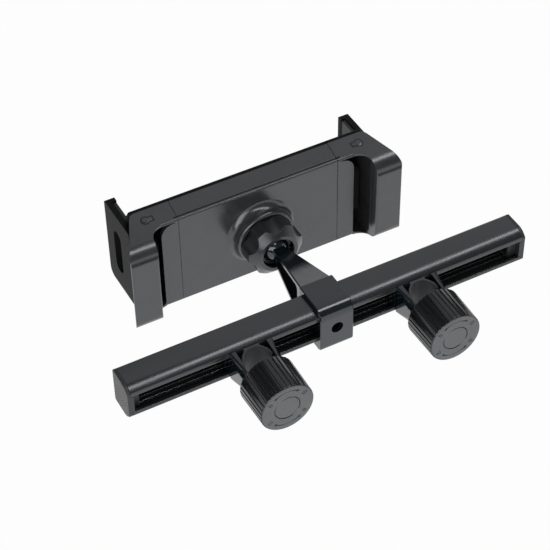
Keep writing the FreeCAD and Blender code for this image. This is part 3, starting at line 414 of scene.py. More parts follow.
def combined(tree, operation, *values):
    """Result of one arithmetic step on patterns."""
    node = tree.nodes.new("ShaderNodeMath")
    node.operation = operation
    for value, socket in zip(values, node.inputs):
        tree.links.new(value, socket)
    return node.outputs["Value"]


def combined_with(tree, operation, value, number):
    """Result of one arithmetic step on a pattern and a number."""
    result = combined(tree, operation, value)
    result.node.inputs[1].default_value = number
    return result


def tinted(tree, shader, value, dark, light):
    """Colour between two tones along a pattern."""
    ramp = tree.nodes.new("ShaderNodeValToRGB")
    for element, stop, colour in zip(ramp.color_ramp.elements, TONE_STOPS, (dark, light)):
        element.position = stop
        element.color = (*colour, 1.0)
    tree.links.new(value, ramp.inputs["Fac"])
    tree.links.new(ramp.outputs["Color"], shader.inputs["Base Color"])


def bumped(tree, shader, value, depth, strength=1.0, under=None):
    """Relief of that depth in metres, on top of an earlier relief if one is given."""
    bump = tree.nodes.new("ShaderNodeBump")
    bump.inputs["Distance"].default_value = depth
    bump.inputs["Strength"].default_value = strength
    tree.links.new(value, bump.inputs["Height"])
    if under is not None:
        tree.links.new(under, bump.inputs["Normal"])
    tree.links.new(bump.outputs["Normal"], shader.inputs["Normal"])
    return bump.outputs["Normal"]


def grained_plastic(name, dark, light, rough, grain, depth, specular):
    """Moulded plastic: fine cell grain, soft cloudy tone and a slightly uneven sheen."""
    material, tree, shader, place = new_material(name, dark, rough[0], specular=specular)
    cloud = noise(tree, place, CLOUD_SIZE, detail=3.0)
    tinted(tree, shader, cloud, dark, light)
    fine = noise(tree, place, grain * SHEEN_SPOTS)
    tree.links.new(ranged(tree, fine, *rough), shader.inputs["Roughness"])
    under = bumped(tree, shader, cells(tree, place, grain), depth)
    bumped(tree, shader, cloud, SINK_DEPTH, SINK_STRENGTH, under)
    return material


def drawn_aluminium():
    """Black anodised extrusion: fine draw lines along X under a satin film."""
    material, tree, shader, place = new_material("rail_aluminium", RAIL_TONES[0], RAIL_ROUGH, specular=1.0)
    lines = noise(tree, stretched(tree, place, DRAW_LINE_STRETCH), DRAW_LINE)
    tinted(tree, shader, lines, *RAIL_TONES)
    cloud = noise(tree, stretched(tree, place, RAIL_CLOUD_STRETCH), RAIL_CLOUD)
    tree.links.new(ranged(tree, cloud, *RAIL_ROUGH_RANGE), shader.inputs["Roughness"])
    bumped(tree, shader, lines, DRAW_LINE_DEPTH)
    return material


def crossed_grooves(tree, place):
    """Two sets of fine grooves across each other in the YZ plane."""
    bands = []
    for turn in CAP_GROOVE_TURNS:
        mapping = tree.nodes.new("ShaderNodeMapping")
        mapping.inputs["Rotation"].default_value = (math.radians(turn), 0.0, 0.0)
        tree.links.new(place, mapping.inputs["Vector"])
        wave = tree.nodes.new("ShaderNodeTexWave")
        wave.bands_direction = "Y"
        wave.inputs["Scale"].default_value = CAP_WAVES
        tree.links.new(mapping.outputs["Vector"], wave.inputs["Vector"])
        bands.append(wave.outputs["Fac"])
    return combined(tree, "MINIMUM", *bands)


def cap_plastic():
    """End cap: crossed fine grooves at 45 degrees that leave small diamonds on its flat face."""
    material, tree, shader, place = new_material("end_cap_plastic", CAP_TONES[0], CAP_ROUGH)
    tinted(tree, shader, noise(tree, place, CAP_CLOUD), *CAP_TONES)
    under = bumped(tree, shader, cells(tree, place, CAP_GRAIN), CAP_GRAIN_DEPTH)
    crossed = crossed_grooves(tree, place)
    sides = tree.nodes.new("ShaderNodeSeparateXYZ")
    tree.links.new(tree.nodes["Texture Coordinate"].outputs["Normal"], sides.inputs["Vector"])
    facing = combined(tree, "ABSOLUTE", sides.outputs["X"])
    outer_face = combined_with(tree, "GREATER_THAN", facing, CAP_FACE_LIMIT)
    bumped(tree, shader, combined(tree, "MULTIPLY", crossed, outer_face), CAP_RELIEF, under=under)
    return material


def soft_rubber(name, dark, light):
    """Silicone rubber: matt, with a faint sheen at grazing angles and dusty fine grain."""
    material, tree, shader, place = new_material(name, dark, RUBBER_ROUGH)
    shader.inputs["Sheen Weight"].default_value = RUBBER_SHEEN
    shader.inputs["Sheen Roughness"].default_value = RUBBER_SHEEN_ROUGH
    tinted(tree, shader, noise(tree, place, RUBBER_CLOUD, detail=4.0), dark, light)
    fine = noise(tree, place, RUBBER_GRAIN, detail=3.0)
    tree.links.new(ranged(tree, fine, *RUBBER_ROUGH_RANGE), shader.inputs["Roughness"])
    bumped(tree, shader, fine, RUBBER_GRAIN_DEPTH)
    return material


def turned_steel(name, colour, rough):
    """Steel with fine turning marks round the Y direction. It also makes the painted highlight on the
    rail's rib crests.
    """
    material, tree, shader, place = new_material(name, colour, rough, metallic=1.0)
    light = tuple(STEEL_LIGHTER * c for c in colour)
    tinted(tree, shader, noise(tree, place, STEEL_CLOUD, detail=3.0), colour, light)
    marks = noise(tree, stretched(tree, place, STEEL_MARK_STRETCH), STEEL_MARK)
    sheen = ranged(tree, marks, rough - STEEL_SMOOTHER, rough + STEEL_ROUGHER)
    tree.links.new(sheen, shader.inputs["Roughness"])
    bumped(tree, shader, marks, STEEL_MARK_DEPTH)
    return material


def all_materials():
    """Every material by its name."""
    made = {name: grained_plastic(name, *values) for name, values in PLASTICS.items()}
    made["rail_aluminium"] = drawn_aluminium()
    made["end_cap_plastic"] = cap_plastic()
    made.update({name: soft_rubber(name, *tones) for name, tones in RUBBERS.items()})
    made.update({name: turned_steel(name, *values) for name, values in STEELS.items()})
    return made


materials = all_materials()


# Helpers for shapes

def unit(value):
    """The value, held between 0 and 1."""
    return min(1.0, max(0.0, value))


def ring(x0, radius, y, angles):
    """Points of a circle about an axis along Y."""
    return [(x0 + radius * math.cos(a), y, radius * math.sin(a)) for a in angles]


def rounded(corners, steps):
    """Points of a closed outline through corners (u, v, radius), each radius as an arc."""
    points = []
    count = len(corners)
    for i in range(count):
        before, here, after = corners[i - 1], corners[i], corners[(i + 1) % count]
        corner = Vector(here[:2])
        if here[2] <= 0:
            points.append(tuple(corner))
            continue
        a = (Vector(before[:2]) - corner).normalized()
        b = (Vector(after[:2]) - corner).normalized()
        half = a.angle(b) / 2
        centre = corner + (a + b).normalized() * (here[2] / math.sin(half))
        start = corner + a * (here[2] / math.tan(half)) - centre
        turn = start.angle_signed(corner + b * (here[2] / math.tan(half)) - centre)
        for k in range(steps + 1):
            points.append(tuple(centre + Matrix.Rotation(-turn * k / steps, 2) @ start))
    return points


def add_grid(bm, rows, closed=False):
    """Quads between rows of points; closed joins each row's end to its start."""
    made = [[bm.verts.new(p) for p in row] for row in rows]
    for near, far in zip(made, made[1:]):
        count = len(near) if closed else len(near) - 1
        for i in range(count):
            j = (i + 1) % len(near)
            bm.faces.new((near[i], near[j], far[j], far[i]))
    return made


def add_prism_x(bm, outline, x0, x1):
    """A solid from a (y, z) outline between two places along X."""
    rows = add_grid(bm, [[(x, y, z) for y, z in outline] for x in (x0, x1)], closed=True)
    bm.faces.new(rows[0])
    bm.faces.new(rows[1])


def dressed_mesh(name, bm, slots, replaced, sharp):
    """An object from the mesh, in metres. slots are material names, first for index 0."""
    bmesh.ops.remove_doubles(bm, verts=bm.verts, dist=MERGE_DISTANCE)
    bmesh.ops.recalc_face_normals(bm, faces=bm.faces)
    bm.transform(Matrix.Scale(MM, 4))
    mesh = bpy.data.meshes.new(name)
    bm.to_mesh(mesh)
    bm.free()
    mesh.shade_smooth()
    mesh.set_sharp_from_angle(angle=math.radians(sharp))
    for slot_name in slots:
        mesh.materials.append(materials[slot_name])
    piece = bpy.data.objects.new(name, mesh)
    bpy.context.scene.collection.objects.link(piece)
    if replaced:
        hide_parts(*replaced)
    return piece


def make_piece(name, bm, body, slots, replaced=(), sharp=SMOOTH_ANGLE):
    """A piece that rides on one body."""
    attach(dressed_mesh(name, bm, slots, replaced, sharp), body)


# Knobs

def flute_radius(offset):
    """Radius of the fluted side at a distance in mm from the middle of a flute."""
    share = unit((abs(offset) - FLUTE_FLOOR_HALF) / (FLUTE_TOP_HALF - FLUTE_FLOOR_HALF))
    return KNOB_RADIUS - FLUTE_DEPTH * (1 - share * share * (3 - 2 * share))


def flute_places():
    """(angle, radius) round the knob, close together where a flute turns into a rib."""
    pitch = 2 * math.pi / FLUTES
    half = pitch * KNOB_RADIUS / 2
    wall = FLUTE_TOP_HALF - FLUTE_FLOOR_HALF
    steps = range(FLUTE_WALL_STEPS + 1)
    offsets = [0.0] + [FLUTE_FLOOR_HALF + wall * k / FLUTE_WALL_STEPS for k in steps]
    offsets += [(FLUTE_TOP_HALF + half) / 2, half]
    side = [-o for o in reversed(offsets[1:-1])] + offsets
    return [(pitch * i + o / KNOB_RADIUS, flute_radius(o)) for i in range(FLUTES) for o in side]


def arc_steps(centre_r, centre_y, radius, start, end):
    """(radius, y) points of a quarter round in the knob's section, angles in degrees."""
    points = []
    for i in range(KNOB_ARC_STEPS + 1):
        a = math.radians(start + (end - start) * i / KNOB_ARC_STEPS)
        points.append((centre_r + radius * math.cos(a), centre_y + radius * math.sin(a)))
    return points


def knob_section():
    """(radius, y) from the edge of the flat face round the side and rim to the bore's floor."""
    points = arc_steps(KNOB_FACE_RADIUS - KNOB_FACE_ROUND, KNOB_FACE_Y + KNOB_FACE_ROUND,
                       KNOB_FACE_ROUND, -90, 0)
    points += arc_steps(KNOB_RADIUS - KNOB_RIM_ROUND, KNOB_RIM_Y - KNOB_RIM_ROUND, KNOB_RIM_ROUND, 0, 90)
    points += [(radius, KNOB_RIM_Y - depth) for radius, depth in KNOB_MOUTH]
    y = KNOB_RIM_Y - KNOB_BORE_START
    points.append((KNOB_BORE, y))
    while y > KNOB_INSIDE_Y + KNOB_PLAIN_LENGTH:
        points += [(KNOB_BORE + depth, y - along) for depth, along in KNOB_GROOVE]
        y -= THREAD_PITCH
    points += [(KNOB_BORE, KNOB_INSIDE_Y + KNOB_INSIDE_ROUND),
               (KNOB_BORE - KNOB_INSIDE_ROUND, KNOB_INSIDE_Y),
               (KNOB_HOLE, KNOB_INSIDE_Y), (KNOB_HOLE, KNOB_FACE_Y + KNOB_HOLE_CHAMFER)]
    return points


def polar(radius, angle):
    """(u, v) of a point on the knob's face."""
    return radius * math.cos(angle), radius * math.sin(angle)


def arrow_mark(middle, reach):
    """Outline of a double headed arc, thin in its middle, as (u, v) points. Angles in degrees."""
    outer, inner = [], []
    for i in range(ARROW_STEPS + 1):
        share = 2 * i / ARROW_STEPS - 1
        a = math.radians(middle + reach * share)
        half = ARROW_THIN_HALF + ARROW_SWELL * share * share
        outer.append(polar(MARK_RADIUS + half, a))
        inner.append(polar(MARK_RADIUS - half, a))
    heads = []
    for sign in (1, -1):
        base = math.radians(middle + sign * reach)
        tip = math.radians(middle + sign * (reach + ARROW_HEAD_TURN))
        heads.append([polar(MARK_RADIUS + ARROW_HEAD_HALF, base), polar(MARK_RADIUS, tip),
                      polar(MARK_RADIUS - ARROW_HEAD_HALF, base)])
    return outer + heads[0] + inner[::-1] + heads[1][::-1]


def box_outline(half, low, high):
    """Corners of a box that is centred on the first axis."""
    return [(-half, low), (half, low), (half, high), (-half, high)]


def shackle_outline(opened):
    """Bow of a padlock. An open one is lifted, with one leg that ends above the body."""
    centre = SHACKLE_CENTRE + (SHACKLE_LIFT if opened else 0.0)
    free_foot = SHACKLE_OPEN_FOOT if opened else SHACKLE_FOOT
    bows = []
    for radius in (SHACKLE_OUTER, SHACKLE_INNER):
        turns = [math.pi * k / SHACKLE_STEPS for k in range(SHACKLE_STEPS + 1)]
        arc = [(radius * math.cos(t), centre + radius * math.sin(t)) for t in turns]
        bows.append([(radius, SHACKLE_FOOT)] + arc + [(-radius, free_foot)])
    return bows[0] + bows[1][::-1]


def padlock_marks(middle, opened):
    """Outlined body and shackle of a small padlock whose foot points to the knob's axis."""
    a = math.radians(middle)
    out, along = Vector((math.cos(a), math.sin(a))), Vector((-math.sin(a), math.cos(a)))
    seat = out * MARK_RADIUS
    shapes = (box_outline(*PADLOCK_BODY), box_outline(*PADLOCK_WINDOW), shackle_outline(opened))
    return [[tuple(seat + along * x + out * y) for x, y in shape] for shape in shapes]


def knob_marks():
    """Generic turning arrows and open and shut padlocks on the knob's face."""
    marks = [arrow_mark(middle, reach) for middle, reach in ARROWS]
    for middle, opened in PADLOCKS:
        marks += padlock_marks(middle, opened)
    return marks


def signed_area(loop):
    """Positive for a loop of (u, v) points that runs counter-clockwise."""
    return sum(a[0] * b[1] - b[0] * a[1] for a, b in zip(loop, loop[1:] + loop[:1])) / 2


def flat_triangles(loops):
    """Points, faces and, for each face, the loops that it lies in."""
    flat, faces = [], []
    for loop in loops:
        if signed_area(loop) < 0:
            loop = loop[::-1]
        faces.append(list(range(len(flat), len(flat) + len(loop))))
        flat += [Vector(p) for p in loop]
    points, _, triangles, _, _, origins = delaunay_2d_cdt(flat, [], faces, 1, MERGE_DISTANCE)
    return points, zip(triangles, origins)


def add_engraved_face(bm, outer, inner, marks, x0, y):
    """A flat ring between two loops of (u, v) points, as material 1, with sunk marks as material 2."""
    points, triangles = flat_triangles([outer, inner] + marks)
    top = [bm.verts.new((x0 + p.x, y, p.y)) for p in points]
    sunk = {}
    plain_edges, sunk_edges = set(), set()
    for triangle, inside_of in triangles:
        if 1 in inside_of:
            continue
        sides = [frozenset(pair) for pair in zip(triangle, triangle[1:] + triangle[:1])]
        if sum(loop > 1 for loop in inside_of) % 2 == 0:
            face = bm.faces.new([top[i] for i in triangle])
            face.material_index = 1
            plain_edges.update(sides)
            continue
        for i in triangle:
            if i not in sunk:
                sunk[i] = bm.verts.new((x0 + points[i].x, y + MARK_DEPTH, points[i].y))
        face = bm.faces.new([sunk[i] for i in triangle])
        face.material_index = 2
        sunk_edges.update(sides)
    for edge in plain_edges & sunk_edges:
        a, b = tuple(edge)
        face = bm.faces.new((top[a], top[b], sunk[b], sunk[a]))
        face.material_index = 2
    bmesh.ops.delete(bm, geom=[v for v in top if not v.link_faces], context="VERTS")


def knob(side, sign):
    """Fluted shell with rounded edges, a thread in its bore and marks engraved in its face."""
    x0 = sign * CLAMP_X
    places = flute_places()
    angles = [a for a, _ in places]
    bm = bmesh.new()
    rows = []
    for radius, y in knob_section():
        reach = [(a, min(radius, r)) for a, r in places]
        rows.append([(x0 + r * math.cos(a), y, r * math.sin(a)) for a, r in reach])
    add_grid(bm, rows, closed=True)
    inner_row = ring(x0, KNOB_HOLE, KNOB_FACE_Y + KNOB_HOLE_CHAMFER, angles)
    edge_row = ring(x0, KNOB_HOLE + KNOB_HOLE_CHAMFER, KNOB_FACE_Y, angles)
    add_grid(bm, [inner_row, edge_row], closed=True)
    outer, inner = ([(x - x0, z) for x, y, z in row] for row in (rows[0], edge_row))
    add_engraved_face(bm, outer, inner, knob_marks(), x0, KNOB_FACE_Y)
    make_piece(f"knob_shell_{side}", bm, f"knob_turn_{side}", ("knob_plastic", "knob_face", "mark_and_painted_joint_shade"),
               (f"knob_{side}",), sharp=32.0)


# Clamps

def jaw_half(y):
    """Half height of a jaw at y, rounded in at its tip."""
    share = (y - JAW_TIP_Y) / (JAW_ROOT_Y - JAW_TIP_Y)
    half = JAW_TIP_HALF + share * (JAW_ROOT_HALF - JAW_TIP_HALF)
    depth = y - JAW_TIP_Y
    if depth < JAW_TIP_ROUND:
        half -= JAW_TIP_ROUND - math.sqrt(max(0.0, JAW_TIP_ROUND ** 2 - (JAW_TIP_ROUND - depth) ** 2))
    return half


def thread_height(phase):
    """0 at the root and 1 on the crest of the rounded coarse thread, for a phase of 0 to 1."""
    wave = 0.5 - 0.5 * math.cos(2 * math.pi * phase)
    return unit(TOOTH_STEEPNESS * wave - TOOTH_ROOT)


def jaw_radius(y, angle, turn_share):
    """Outer radius of a jaw about the knob's axis: helical thread, plain neck, flare to the base."""
    start = JAW_TIP_Y + THREAD_START - turn_share * THREAD_PITCH
    phase = (start - y) / THREAD_PITCH + angle / (2 * math.pi)
    crest = THREAD_RADIUS - THREAD_CLEARANCE
    if phase > 0 and y < start + THREAD_OVERRUN:
        end = min(1.0, (y - JAW_TIP_Y) / THREAD_LEAD)
        tooth = thread_height(phase % 1.0) if phase < THREAD_TEETH + THREAD_LAST_TURN else 0.0
        return crest - THREAD_DEPTH * (1 - tooth) - THREAD_LEAD_DEPTH * (1 - end) ** 2
    if y > JAW_TIP_Y + FLARE_START:
        share = (y - JAW_TIP_Y - FLARE_START) / (JAW_ROOT_Y - JAW_TIP_Y - FLARE_START)
        return crest + (FLARE_RADIUS - THREAD_RADIUS) * share
    return crest


def channel_dip(y, z):
    """1 over the shallow channel in a jaw's inner side and 0 beside it."""
    dip = unit((JAW_CHANNEL_HALF + JAW_CHANNEL_SLOPE / 2 - abs(z)) / JAW_CHANNEL_SLOPE)
    dip *= unit((y - JAW_TIP_Y - JAW_CHANNEL_TO_TIP) / JAW_CHANNEL_SLOPE)
    return dip * unit((JAW_ROOT_Y - JAW_CHANNEL_TO_ROOT - y) / JAW_CHANNEL_SLOPE)


def jaw_rows(x0, mirror, turn_share):
    """Points of a jaw's outer and inner side, one row for each step along Y."""
    outer_rows, inner_rows = [], []
    for i in range(JAW_STEPS_ALONG + 1):
        y = JAW_TIP_Y + (JAW_ROOT_Y - JAW_TIP_Y) * i / JAW_STEPS_ALONG
        half = jaw_half(y)
        tip = JAW_TIP_CHAMFER * max(0.0, 1 - (y - JAW_TIP_Y) / JAW_TIP_CHAMFER_LENGTH) ** 2
        outer, inner = [], []
        for k in range(JAW_STEPS_ACROSS + 1):
            share = math.sin(math.pi / 2 * (2 * k / JAW_STEPS_ACROSS - 1))
            z = half * share
            radius = jaw_radius(y, math.asin(z / THREAD_RADIUS) * mirror, turn_share)
            rim = JAW_EDGE_ROUND * max(0.0, (abs(share) - JAW_EDGE_START) / (1 - JAW_EDGE_START)) ** 2
            thread_x = min(JAW_OUTER_X, math.sqrt(radius ** 2 - z ** 2))
            outer_x = max(JAW_INNER_X + JAW_LEAST_WALL, thread_x - rim - tip)
            inner_x = JAW_INNER_X + JAW_CHANNEL_DEPTH * channel_dip(y, z) + rim / 2
            outer.append((x0 + mirror * outer_x, y, z))
            inner.append((x0 + mirror * inner_x, y, z))
        outer_rows.append(outer)
        inner_rows.append(inner)
    return outer_rows, inner_rows


def add_jaw(bm, x0, mirror, turn_share):
    """One threaded jaw as a plate whose outer side follows the thread, with its stem."""
    outer_rows, inner_rows = jaw_rows(x0, mirror, turn_share)
    add_grid(bm, outer_rows)
    add_grid(bm, inner_rows)
    for k in (0, -1):
        add_grid(bm, [[row[k] for row in outer_rows], [row[k] for row in inner_rows]])
    for k in (0, -1):
        add_grid(bm, (outer_rows[k], inner_rows[k]))
    near_y, far_y = JAW_ROOT_Y - STEM_IN_JAW, BASE_FRONT_Y + STEM_IN_BASE
    stem = [(near_y, STEM_HALF), (far_y, STEM_HALF), (far_y, -STEM_HALF), (near_y, -STEM_HALF)]
    near_x, far_x = sorted((x0 + mirror * JAW_INNER_X, x0 + mirror * JAW_OUTER_X))
    add_prism_x(bm, stem, near_x, far_x)


def clamp_yoke(side, sign):
    """Two threaded jaws and the base that runs in the rail."""
    x0 = sign * CLAMP_X
    bm = bmesh.new()
    add_jaw(bm, x0, 1, 0.5)
    add_jaw(bm, x0, -1, 0.0)
    slope_y = BASE_FRONT_Y + BASE_SLOPE
    corners = [(BASE_FRONT_Y, BASE_LOW_HALF), (BASE_FRONT_Y, -BASE_LOW_HALF), (slope_y, -BASE_HALF),
               (BASE_BACK_Y, -BASE_HALF), (BASE_BACK_Y, BASE_HALF), (slope_y, BASE_HALF)]
    section = rounded([(y, z, BASE_ROUND) for y, z in corners], BASE_STEPS)
    add_prism_x(bm, section, x0 - JAW_OUTER_X, x0 + JAW_OUTER_X)
    make_piece(f"threaded_yoke_{side}", bm, f"clamp_{side}", ("glossy_moulding",),
               (f"clamp_yoke_{side}",), sharp=40.0)


# Rail

def rail_half(lip_round):
    """(y, z, radius) corners of the rail above its middle, from the channel's back to the outer back."""
    inner_front, inner_back = RAIL_FRONT_Y + RAIL_WALL, RAIL_BACK_Y - RAIL_WALL
    corners = [(inner_back, 0.0, 0.0)]
    for z in BACK_RIBS_Z:
        corners += [(inner_back - height, z + along, r) for height, along, r in BACK_RIB]
    corners.append((inner_back, CHANNEL_HALF, CHANNEL_ROUND))
    for y in FLOOR_RIBS_Y:
        corners += [(y + along, CHANNEL_HALF - height, r) for height, along, r in FLOOR_RIB]
    corners += [(inner_front + CHANNEL_SLOPE, CHANNEL_HALF, CHANNEL_SLOPE_ROUND),
                (inner_front, RAIL_FACE_HALF - SHOULDER_DROP, CHANNEL_ROUND),
                (inner_front, SLOT_HALF, CHANNEL_ROUND), (RAIL_FRONT_Y, SLOT_HALF, SLOT_ROUND),
                (RAIL_FRONT_Y, RAIL_FACE_HALF, lip_round), (RAIL_BEVEL_Y, RAIL_HALF_HEIGHT, RAIL_ROUND),
                (RAIL_BACK_Y, RAIL_HALF_HEIGHT, RAIL_BACK_ROUND)]
    return corners


def rail_section():
    """One closed outline of the slotted extrusion, with ribs inside and two lines in its lower lip."""
    upper = rail_half(UPPER_LIP_ROUND)
    lower = [(y, -z, r) for y, z, r in reversed(rail_half(LOWER_LIP_ROUND)[1:])]
    lip = lower.index((RAIL_FRONT_Y, -SLOT_HALF, SLOT_ROUND))
    deep_y = RAIL_FRONT_Y + LIP_LINE_DEPTH
    lines = []
    for z in LIP_LINES:
        low, high = z - LIP_LINE_HALF, z + LIP_LINE_HALF
        lines += [(RAIL_FRONT_Y, low, 0.0), (deep_y, low, 0.0),
                  (deep_y, high, 0.0), (RAIL_FRONT_Y, high, 0.0)]
    return rounded(upper + lower[:lip] + lines + lower[lip:], RAIL_STEPS)


def rail():
    """The long extrusion, with a painted highlight on the crests of the lower ribs in its channel."""
    bm = bmesh.new()
    add_prism_x(bm, rail_section(), -RAIL_HALF_LENGTH, RAIL_HALF_LENGTH)
    crest = CHANNEL_HALF - FLOOR_RIB_HEIGHT
    # Faces on the crests of the lower ribs get the painted highlight as material 1
    for face in bm.faces:
        middle = face.calc_center_median()
        on_crest = CREST_BAND[0] < -middle.z - crest < CREST_BAND[1] and len(face.verts) == 4
        face.material_index = 1 if on_crest and middle.y > CREST_START_Y else 0
    make_piece("rail_extrusion", bm, "mount_frame", ("rail_aluminium", "painted_rib_highlight"), ("rail",), sharp=30.0)


# Boss round the screw in the arm

def screw_boss():
    """A round boss in the arm's pockets that holds the screw from the rail, domed at its end."""
    bm = bmesh.new()
    rows = [ring(0.0, SCREW_BOSS_RADIUS + SCREW_BOSS_FOOT, SCREW_BOSS_START, TURN)]
    rows += [ring(0.0, SCREW_BOSS_RADIUS - inset, SCREW_BOSS_END - to_end, TURN)
             for inset, to_end in SCREW_BOSS_DOME]
    made = add_grid(bm, rows, closed=True)
    bm.faces.new(made[0])
    bm.faces.new(made[-1])
    make_piece("screw_boss", bm, "mount_frame", ("glossy_moulding",))


# Small raised signs on the grips

def sign_outline(grow):
    """A round head with a square tab that points to the holder's middle, grown by grow."""
    radius, half = SIGN_RADIUS + grow, SIGN_TAB_HALF + grow
    start = math.asin(half / radius)
    angles = [math.pi + start + (2 * math.pi - 2 * start) * i / SIGN_STEPS for i in range(SIGN_STEPS + 1)]
    tip = -SIGN_TAB_REACH - grow
    return [(radius * math.cos(a), radius * math.sin(a)) for a in angles] + [(tip, half), (tip, -half)]


def grip_sign(side, sign):
    """A plug in the grip's top, with painted shade in the joint round it."""
    bm = bmesh.new()
    rows = []
    for grow, lift in SIGN_RINGS:
        row = []
        for u, v in sign_outline(grow):
            y = SIGN_Y + v
            top = SHELL_BACK_HALF + SHELL_DRAFT * (y - SHELL_BACK_Y)
            row.append((sign * (SIGN_X + u), y, top + lift))
        rows.append(row)
    made = add_grid(bm, rows, closed=True)
    bm.faces.new(made[-1])
    for face in bm.faces:
        # The flat strip between the second and third rings is painted shade, where the joint's shade would
        # fall
        dark = all(v in made[1] or v in made[2] for v in face.verts)
        face.material_index = 1 if dark else 0
    make_piece(f"grip_sign_{side}", bm, f"arm_{side}", ("holder_shell", "mark_and_painted_joint_shade"))


# CAD nodes that stay

def soften(name, slot_name, width):
    """Joins the node's triangles to whole faces and rounds its edges. The mesh itself isn't changed."""
    node = nodes[name]
    node.data.materials.clear()
    node.data.materials.append(materials[slot_name])
    weld = node.modifiers.new("weld", "WELD")
    weld.merge_threshold = WELD_DISTANCE
    flat = node.modifiers.new("flat", "DECIMATE")
    flat.decimate_type = "DISSOLVE"
    flat.angle_limit = math.radians(FLAT_ANGLE)
    bevel = node.modifiers.new("bevel", "BEVEL")
    bevel.width = width * MM
    bevel.segments = EDGE_SEGMENTS
    bevel.limit_method = "ANGLE"
    bevel.angle_limit = math.radians(EDGE_ANGLE)
    bevel.harden_normals = True
    shade = node.modifiers.new("shade", "WEIGHTED_NORMAL")
    shade.keep_sharp = True


def soften_nodes():
    """Material and rounded edges for every CAD node that no finer piece replaces."""
    for name, (slot_name, width) in ROUNDED_NODES.items():
        soften(name, slot_name, width)
    for name, (slot_name, width) in HANDED_NODES.items():
        for side, _ in SIDES:
            soften(f"{name}_{side}", slot_name, width)


# Springs

def spring_path():
    """Middle line of a spring's wire: eye, link, coil, link, eye. Points are (x, y, z)."""
    turn = [2 * math.pi * i / COIL_STEPS for i in range(1, COIL_STEPS + 1)]
    path = [(SPRING_ANCHOR_X + SPRING_EYE * math.cos(a), 0.0, SPRING_EYE * math.sin(a)) for a in turn]
    start = SPRING_ANCHOR_X + SPRING_LINK
    end = SPRING_EAR_X - SPRING_LINK
    steps = SPRING_TURNS * COIL_STEPS
    for i in range(steps + 1):
        a = 2 * math.pi * i / COIL_STEPS
        radius = SPRING_COIL * min(1.0, 2 * i / COIL_STEPS, 2 * (steps - i) / COIL_STEPS)
        path.append((start + (end - start) * i / steps, radius * math.cos(a), radius * math.sin(a)))
    last_turn = [0.0] + turn[:-1]
    path += [(SPRING_EAR_X - SPRING_EYE * math.cos(a), 0.0, SPRING_EYE * math.sin(a)) for a in last_turn]
    return path


def add_wire(bm, path):
    """A round wire along a path, closed at both ends."""
    points = [Vector(p) for p in path]
    angles = [2 * math.pi * k / WIRE_SIDES for k in range(WIRE_SIDES)]
    rows = []
    side = Vector((0.0, 1.0, 0.0))
    for i, point in enumerate(points):
        ahead = (points[min(i + 1, len(points) - 1)] - points[max(i - 1, 0)]).normalized()
        side = (side - ahead * side.dot(ahead)).normalized()
        across = ahead.cross(side)
        rows.append([point + SPRING_WIRE * (math.cos(a) * side + math.sin(a) * across) for a in angles])
    made = add_grid(bm, rows, closed=True)
    bm.faces.new(made[0])
    bm.faces.new(made[-1])


def spring(side, sign):
    """Coiled wire from the holder's post to the slider's post."""
    bm = bmesh.new()
    add_wire(bm, [(sign * x, SPRING_Y + y, sign * (SPRING_Z + z)) for x, y, z in spring_path()])
    piece = dressed_mesh(f"coil_spring_{side}", bm, ("spring_steel",),
                         (f"return_spring_{side}",), sharp=60.0)
    ends = [(sign * x * MM, SPRING_Y * MM, sign * SPRING_Z * MM)
            for x in (SPRING_ANCHOR_X + SPRING_LINK, SPRING_EAR_X - SPRING_LINK)]
    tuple(ends[0])
    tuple(ends[1])
    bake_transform(piece)


# Camera, lamps and stage

def camera():
    """The photograph's own viewpoint."""
    a, e, r = CAMERA_AZIMUTH, CAMERA_ELEVATION, CAMERA_ROLL
    right = Vector((math.cos(a), math.sin(a), 0.0))
    up = Vector((-math.sin(a) * math.sin(e), math.cos(a) * math.sin(e), math.cos(e)))
    back = Vector((math.sin(a) * math.cos(e), -math.cos(a) * math.cos(e), math.sin(e)))
    rolled_right = math.cos(r) * right + math.sin(r) * up
    rolled_up = -math.sin(r) * right + math.cos(r) * up
    data = bpy.data.cameras.new("photo_camera")
    data.lens = CAMERA_LENS
    data.sensor_width = CAMERA_SENSOR
    data.clip_start = CAMERA_NEAR
    data.clip_end = CAMERA_FAR
    thing = bpy.data.objects.new("photo_camera", data)
    bpy.context.scene.collection.objects.link(thing)
    turn = Matrix((rolled_right, rolled_up, back)).transposed().to_4x4()
    thing.matrix_world = Matrix.Translation(CAMERA_PLACE) @ turn
    bpy.context.scene.camera = thing


def lamps():
    """Soft lamps from the front left, in a strip above, from behind and from the right."""
    for name, (place, wide, deep, power) in LAMPS.items():
        data = bpy.data.lights.new(name, "AREA")
        data.shape = "RECTANGLE"
        data.size = wide
        data.size_y = deep
        data.energy = power
        lamp = bpy.data.objects.new(name, data)
        bpy.context.scene.collection.objects.link(lamp)
        away = Vector(place) - Vector(LAMP_AIM)
        turn = away.to_track_quat("Z", "Y")
        lamp.matrix_world = Matrix.Translation(place) @ turn.to_matrix().to_4x4()


def studio_world():
    """A weak even light on the object, as from a dim room above the backdrop."""
    world = bpy.data.worlds.new("studio")
    bpy.context.scene.world = world
    world.use_nodes = True
    background = world.node_tree.nodes["Background"]
    background.inputs["Color"].default_value = (1.0, 1.0, 1.0, 1.0)
    background.inputs["Strength"].default_value = WORLD_STRENGTH


def seen_ray(tree):
    """1 for rays of the camera and for those that gloss or glass sends on."""
    rays = tree.nodes.new("ShaderNodeLightPath")
    clear = combined(tree, "MAXIMUM", rays.outputs["Is Camera Ray"], rays.outputs["Is Transmission Ray"])
    return combined(tree, "MAXIMUM", clear, rays.outputs["Is Glossy Ray"])


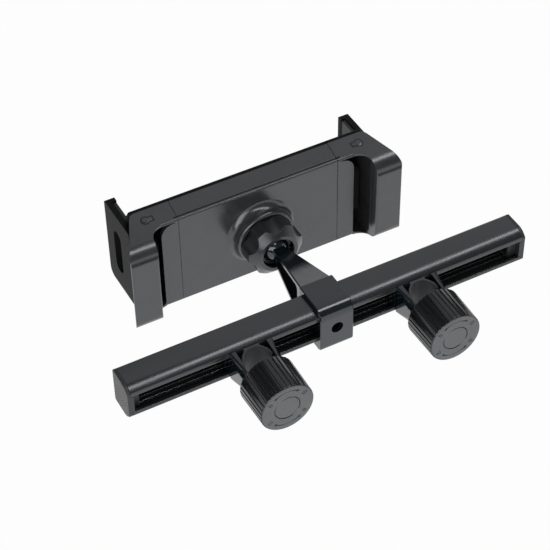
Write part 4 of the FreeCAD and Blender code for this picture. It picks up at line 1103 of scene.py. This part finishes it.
def mixed(tree, share, first, second):
    """Shader between two others."""
    mix = tree.nodes.new("ShaderNodeMixShader")
    tree.links.new(share, mix.inputs["Fac"])
    tree.links.new(first, mix.inputs[1])
    tree.links.new(second, mix.inputs[2])
    return mix.outputs["Shader"]


def floor_white():
    """White to the camera, gloss and glass, pale and matt to the light, and clear from its back."""
    material = bpy.data.materials.new("floor_white")
    material.use_nodes = True
    tree = material.node_tree
    tree.nodes.clear()
    matt = tree.nodes.new("ShaderNodeBsdfDiffuse")
    matt.inputs["Color"].default_value = (*FLOOR_COLOUR, 1.0)
    glow = tree.nodes.new("ShaderNodeEmission")
    glow.inputs["Strength"].default_value = 1.0
    share = combined_with(tree, "MULTIPLY", seen_ray(tree), FLOOR_GLOW)
    front = mixed(tree, share, matt.outputs["BSDF"], glow.outputs["Emission"])
    side = tree.nodes.new("ShaderNodeNewGeometry")
    nothing = tree.nodes.new("ShaderNodeBsdfTransparent")
    output = tree.nodes.new("ShaderNodeOutputMaterial")
    both = mixed(tree, side.outputs["Backfacing"], front, nothing.outputs["BSDF"])
    tree.links.new(both, output.inputs["Surface"])
    return material


def floor():
    """A round floor with a steep backdrop round it. Both keep the shadow and face inwards only."""
    edges = ((FLOOR_RADIUS, FLOOR_Z), (BACKDROP_RADIUS, FLOOR_Z + BACKDROP_HEIGHT))
    points = [(radius * math.cos(a), radius * math.sin(a), z) for a in TURN for radius, z in edges]
    count = len(points)
    wall = [((i + 2) % count, i, i + 1, (i + 3) % count) for i in range(0, count, 2)]
    mesh = bpy.data.meshes.new("floor")
    mesh.from_pydata(points, [], [list(range(0, count, 2))] + wall)
    mesh.materials.append(floor_white())
    stage = bpy.data.objects.new("floor", mesh)
    bpy.context.scene.collection.objects.link(stage)


camera()
lamps()
studio_world()
floor()
rail()
screw_boss()
soften_nodes()
for side_name, side_sign in SIDES:
    knob(side_name, side_sign)
    clamp_yoke(side_name, side_sign)
    grip_sign(side_name, side_sign)
    spring(side_name, side_sign)

scene = bpy.context.scene
scene.view_settings.view_transform = "Standard"
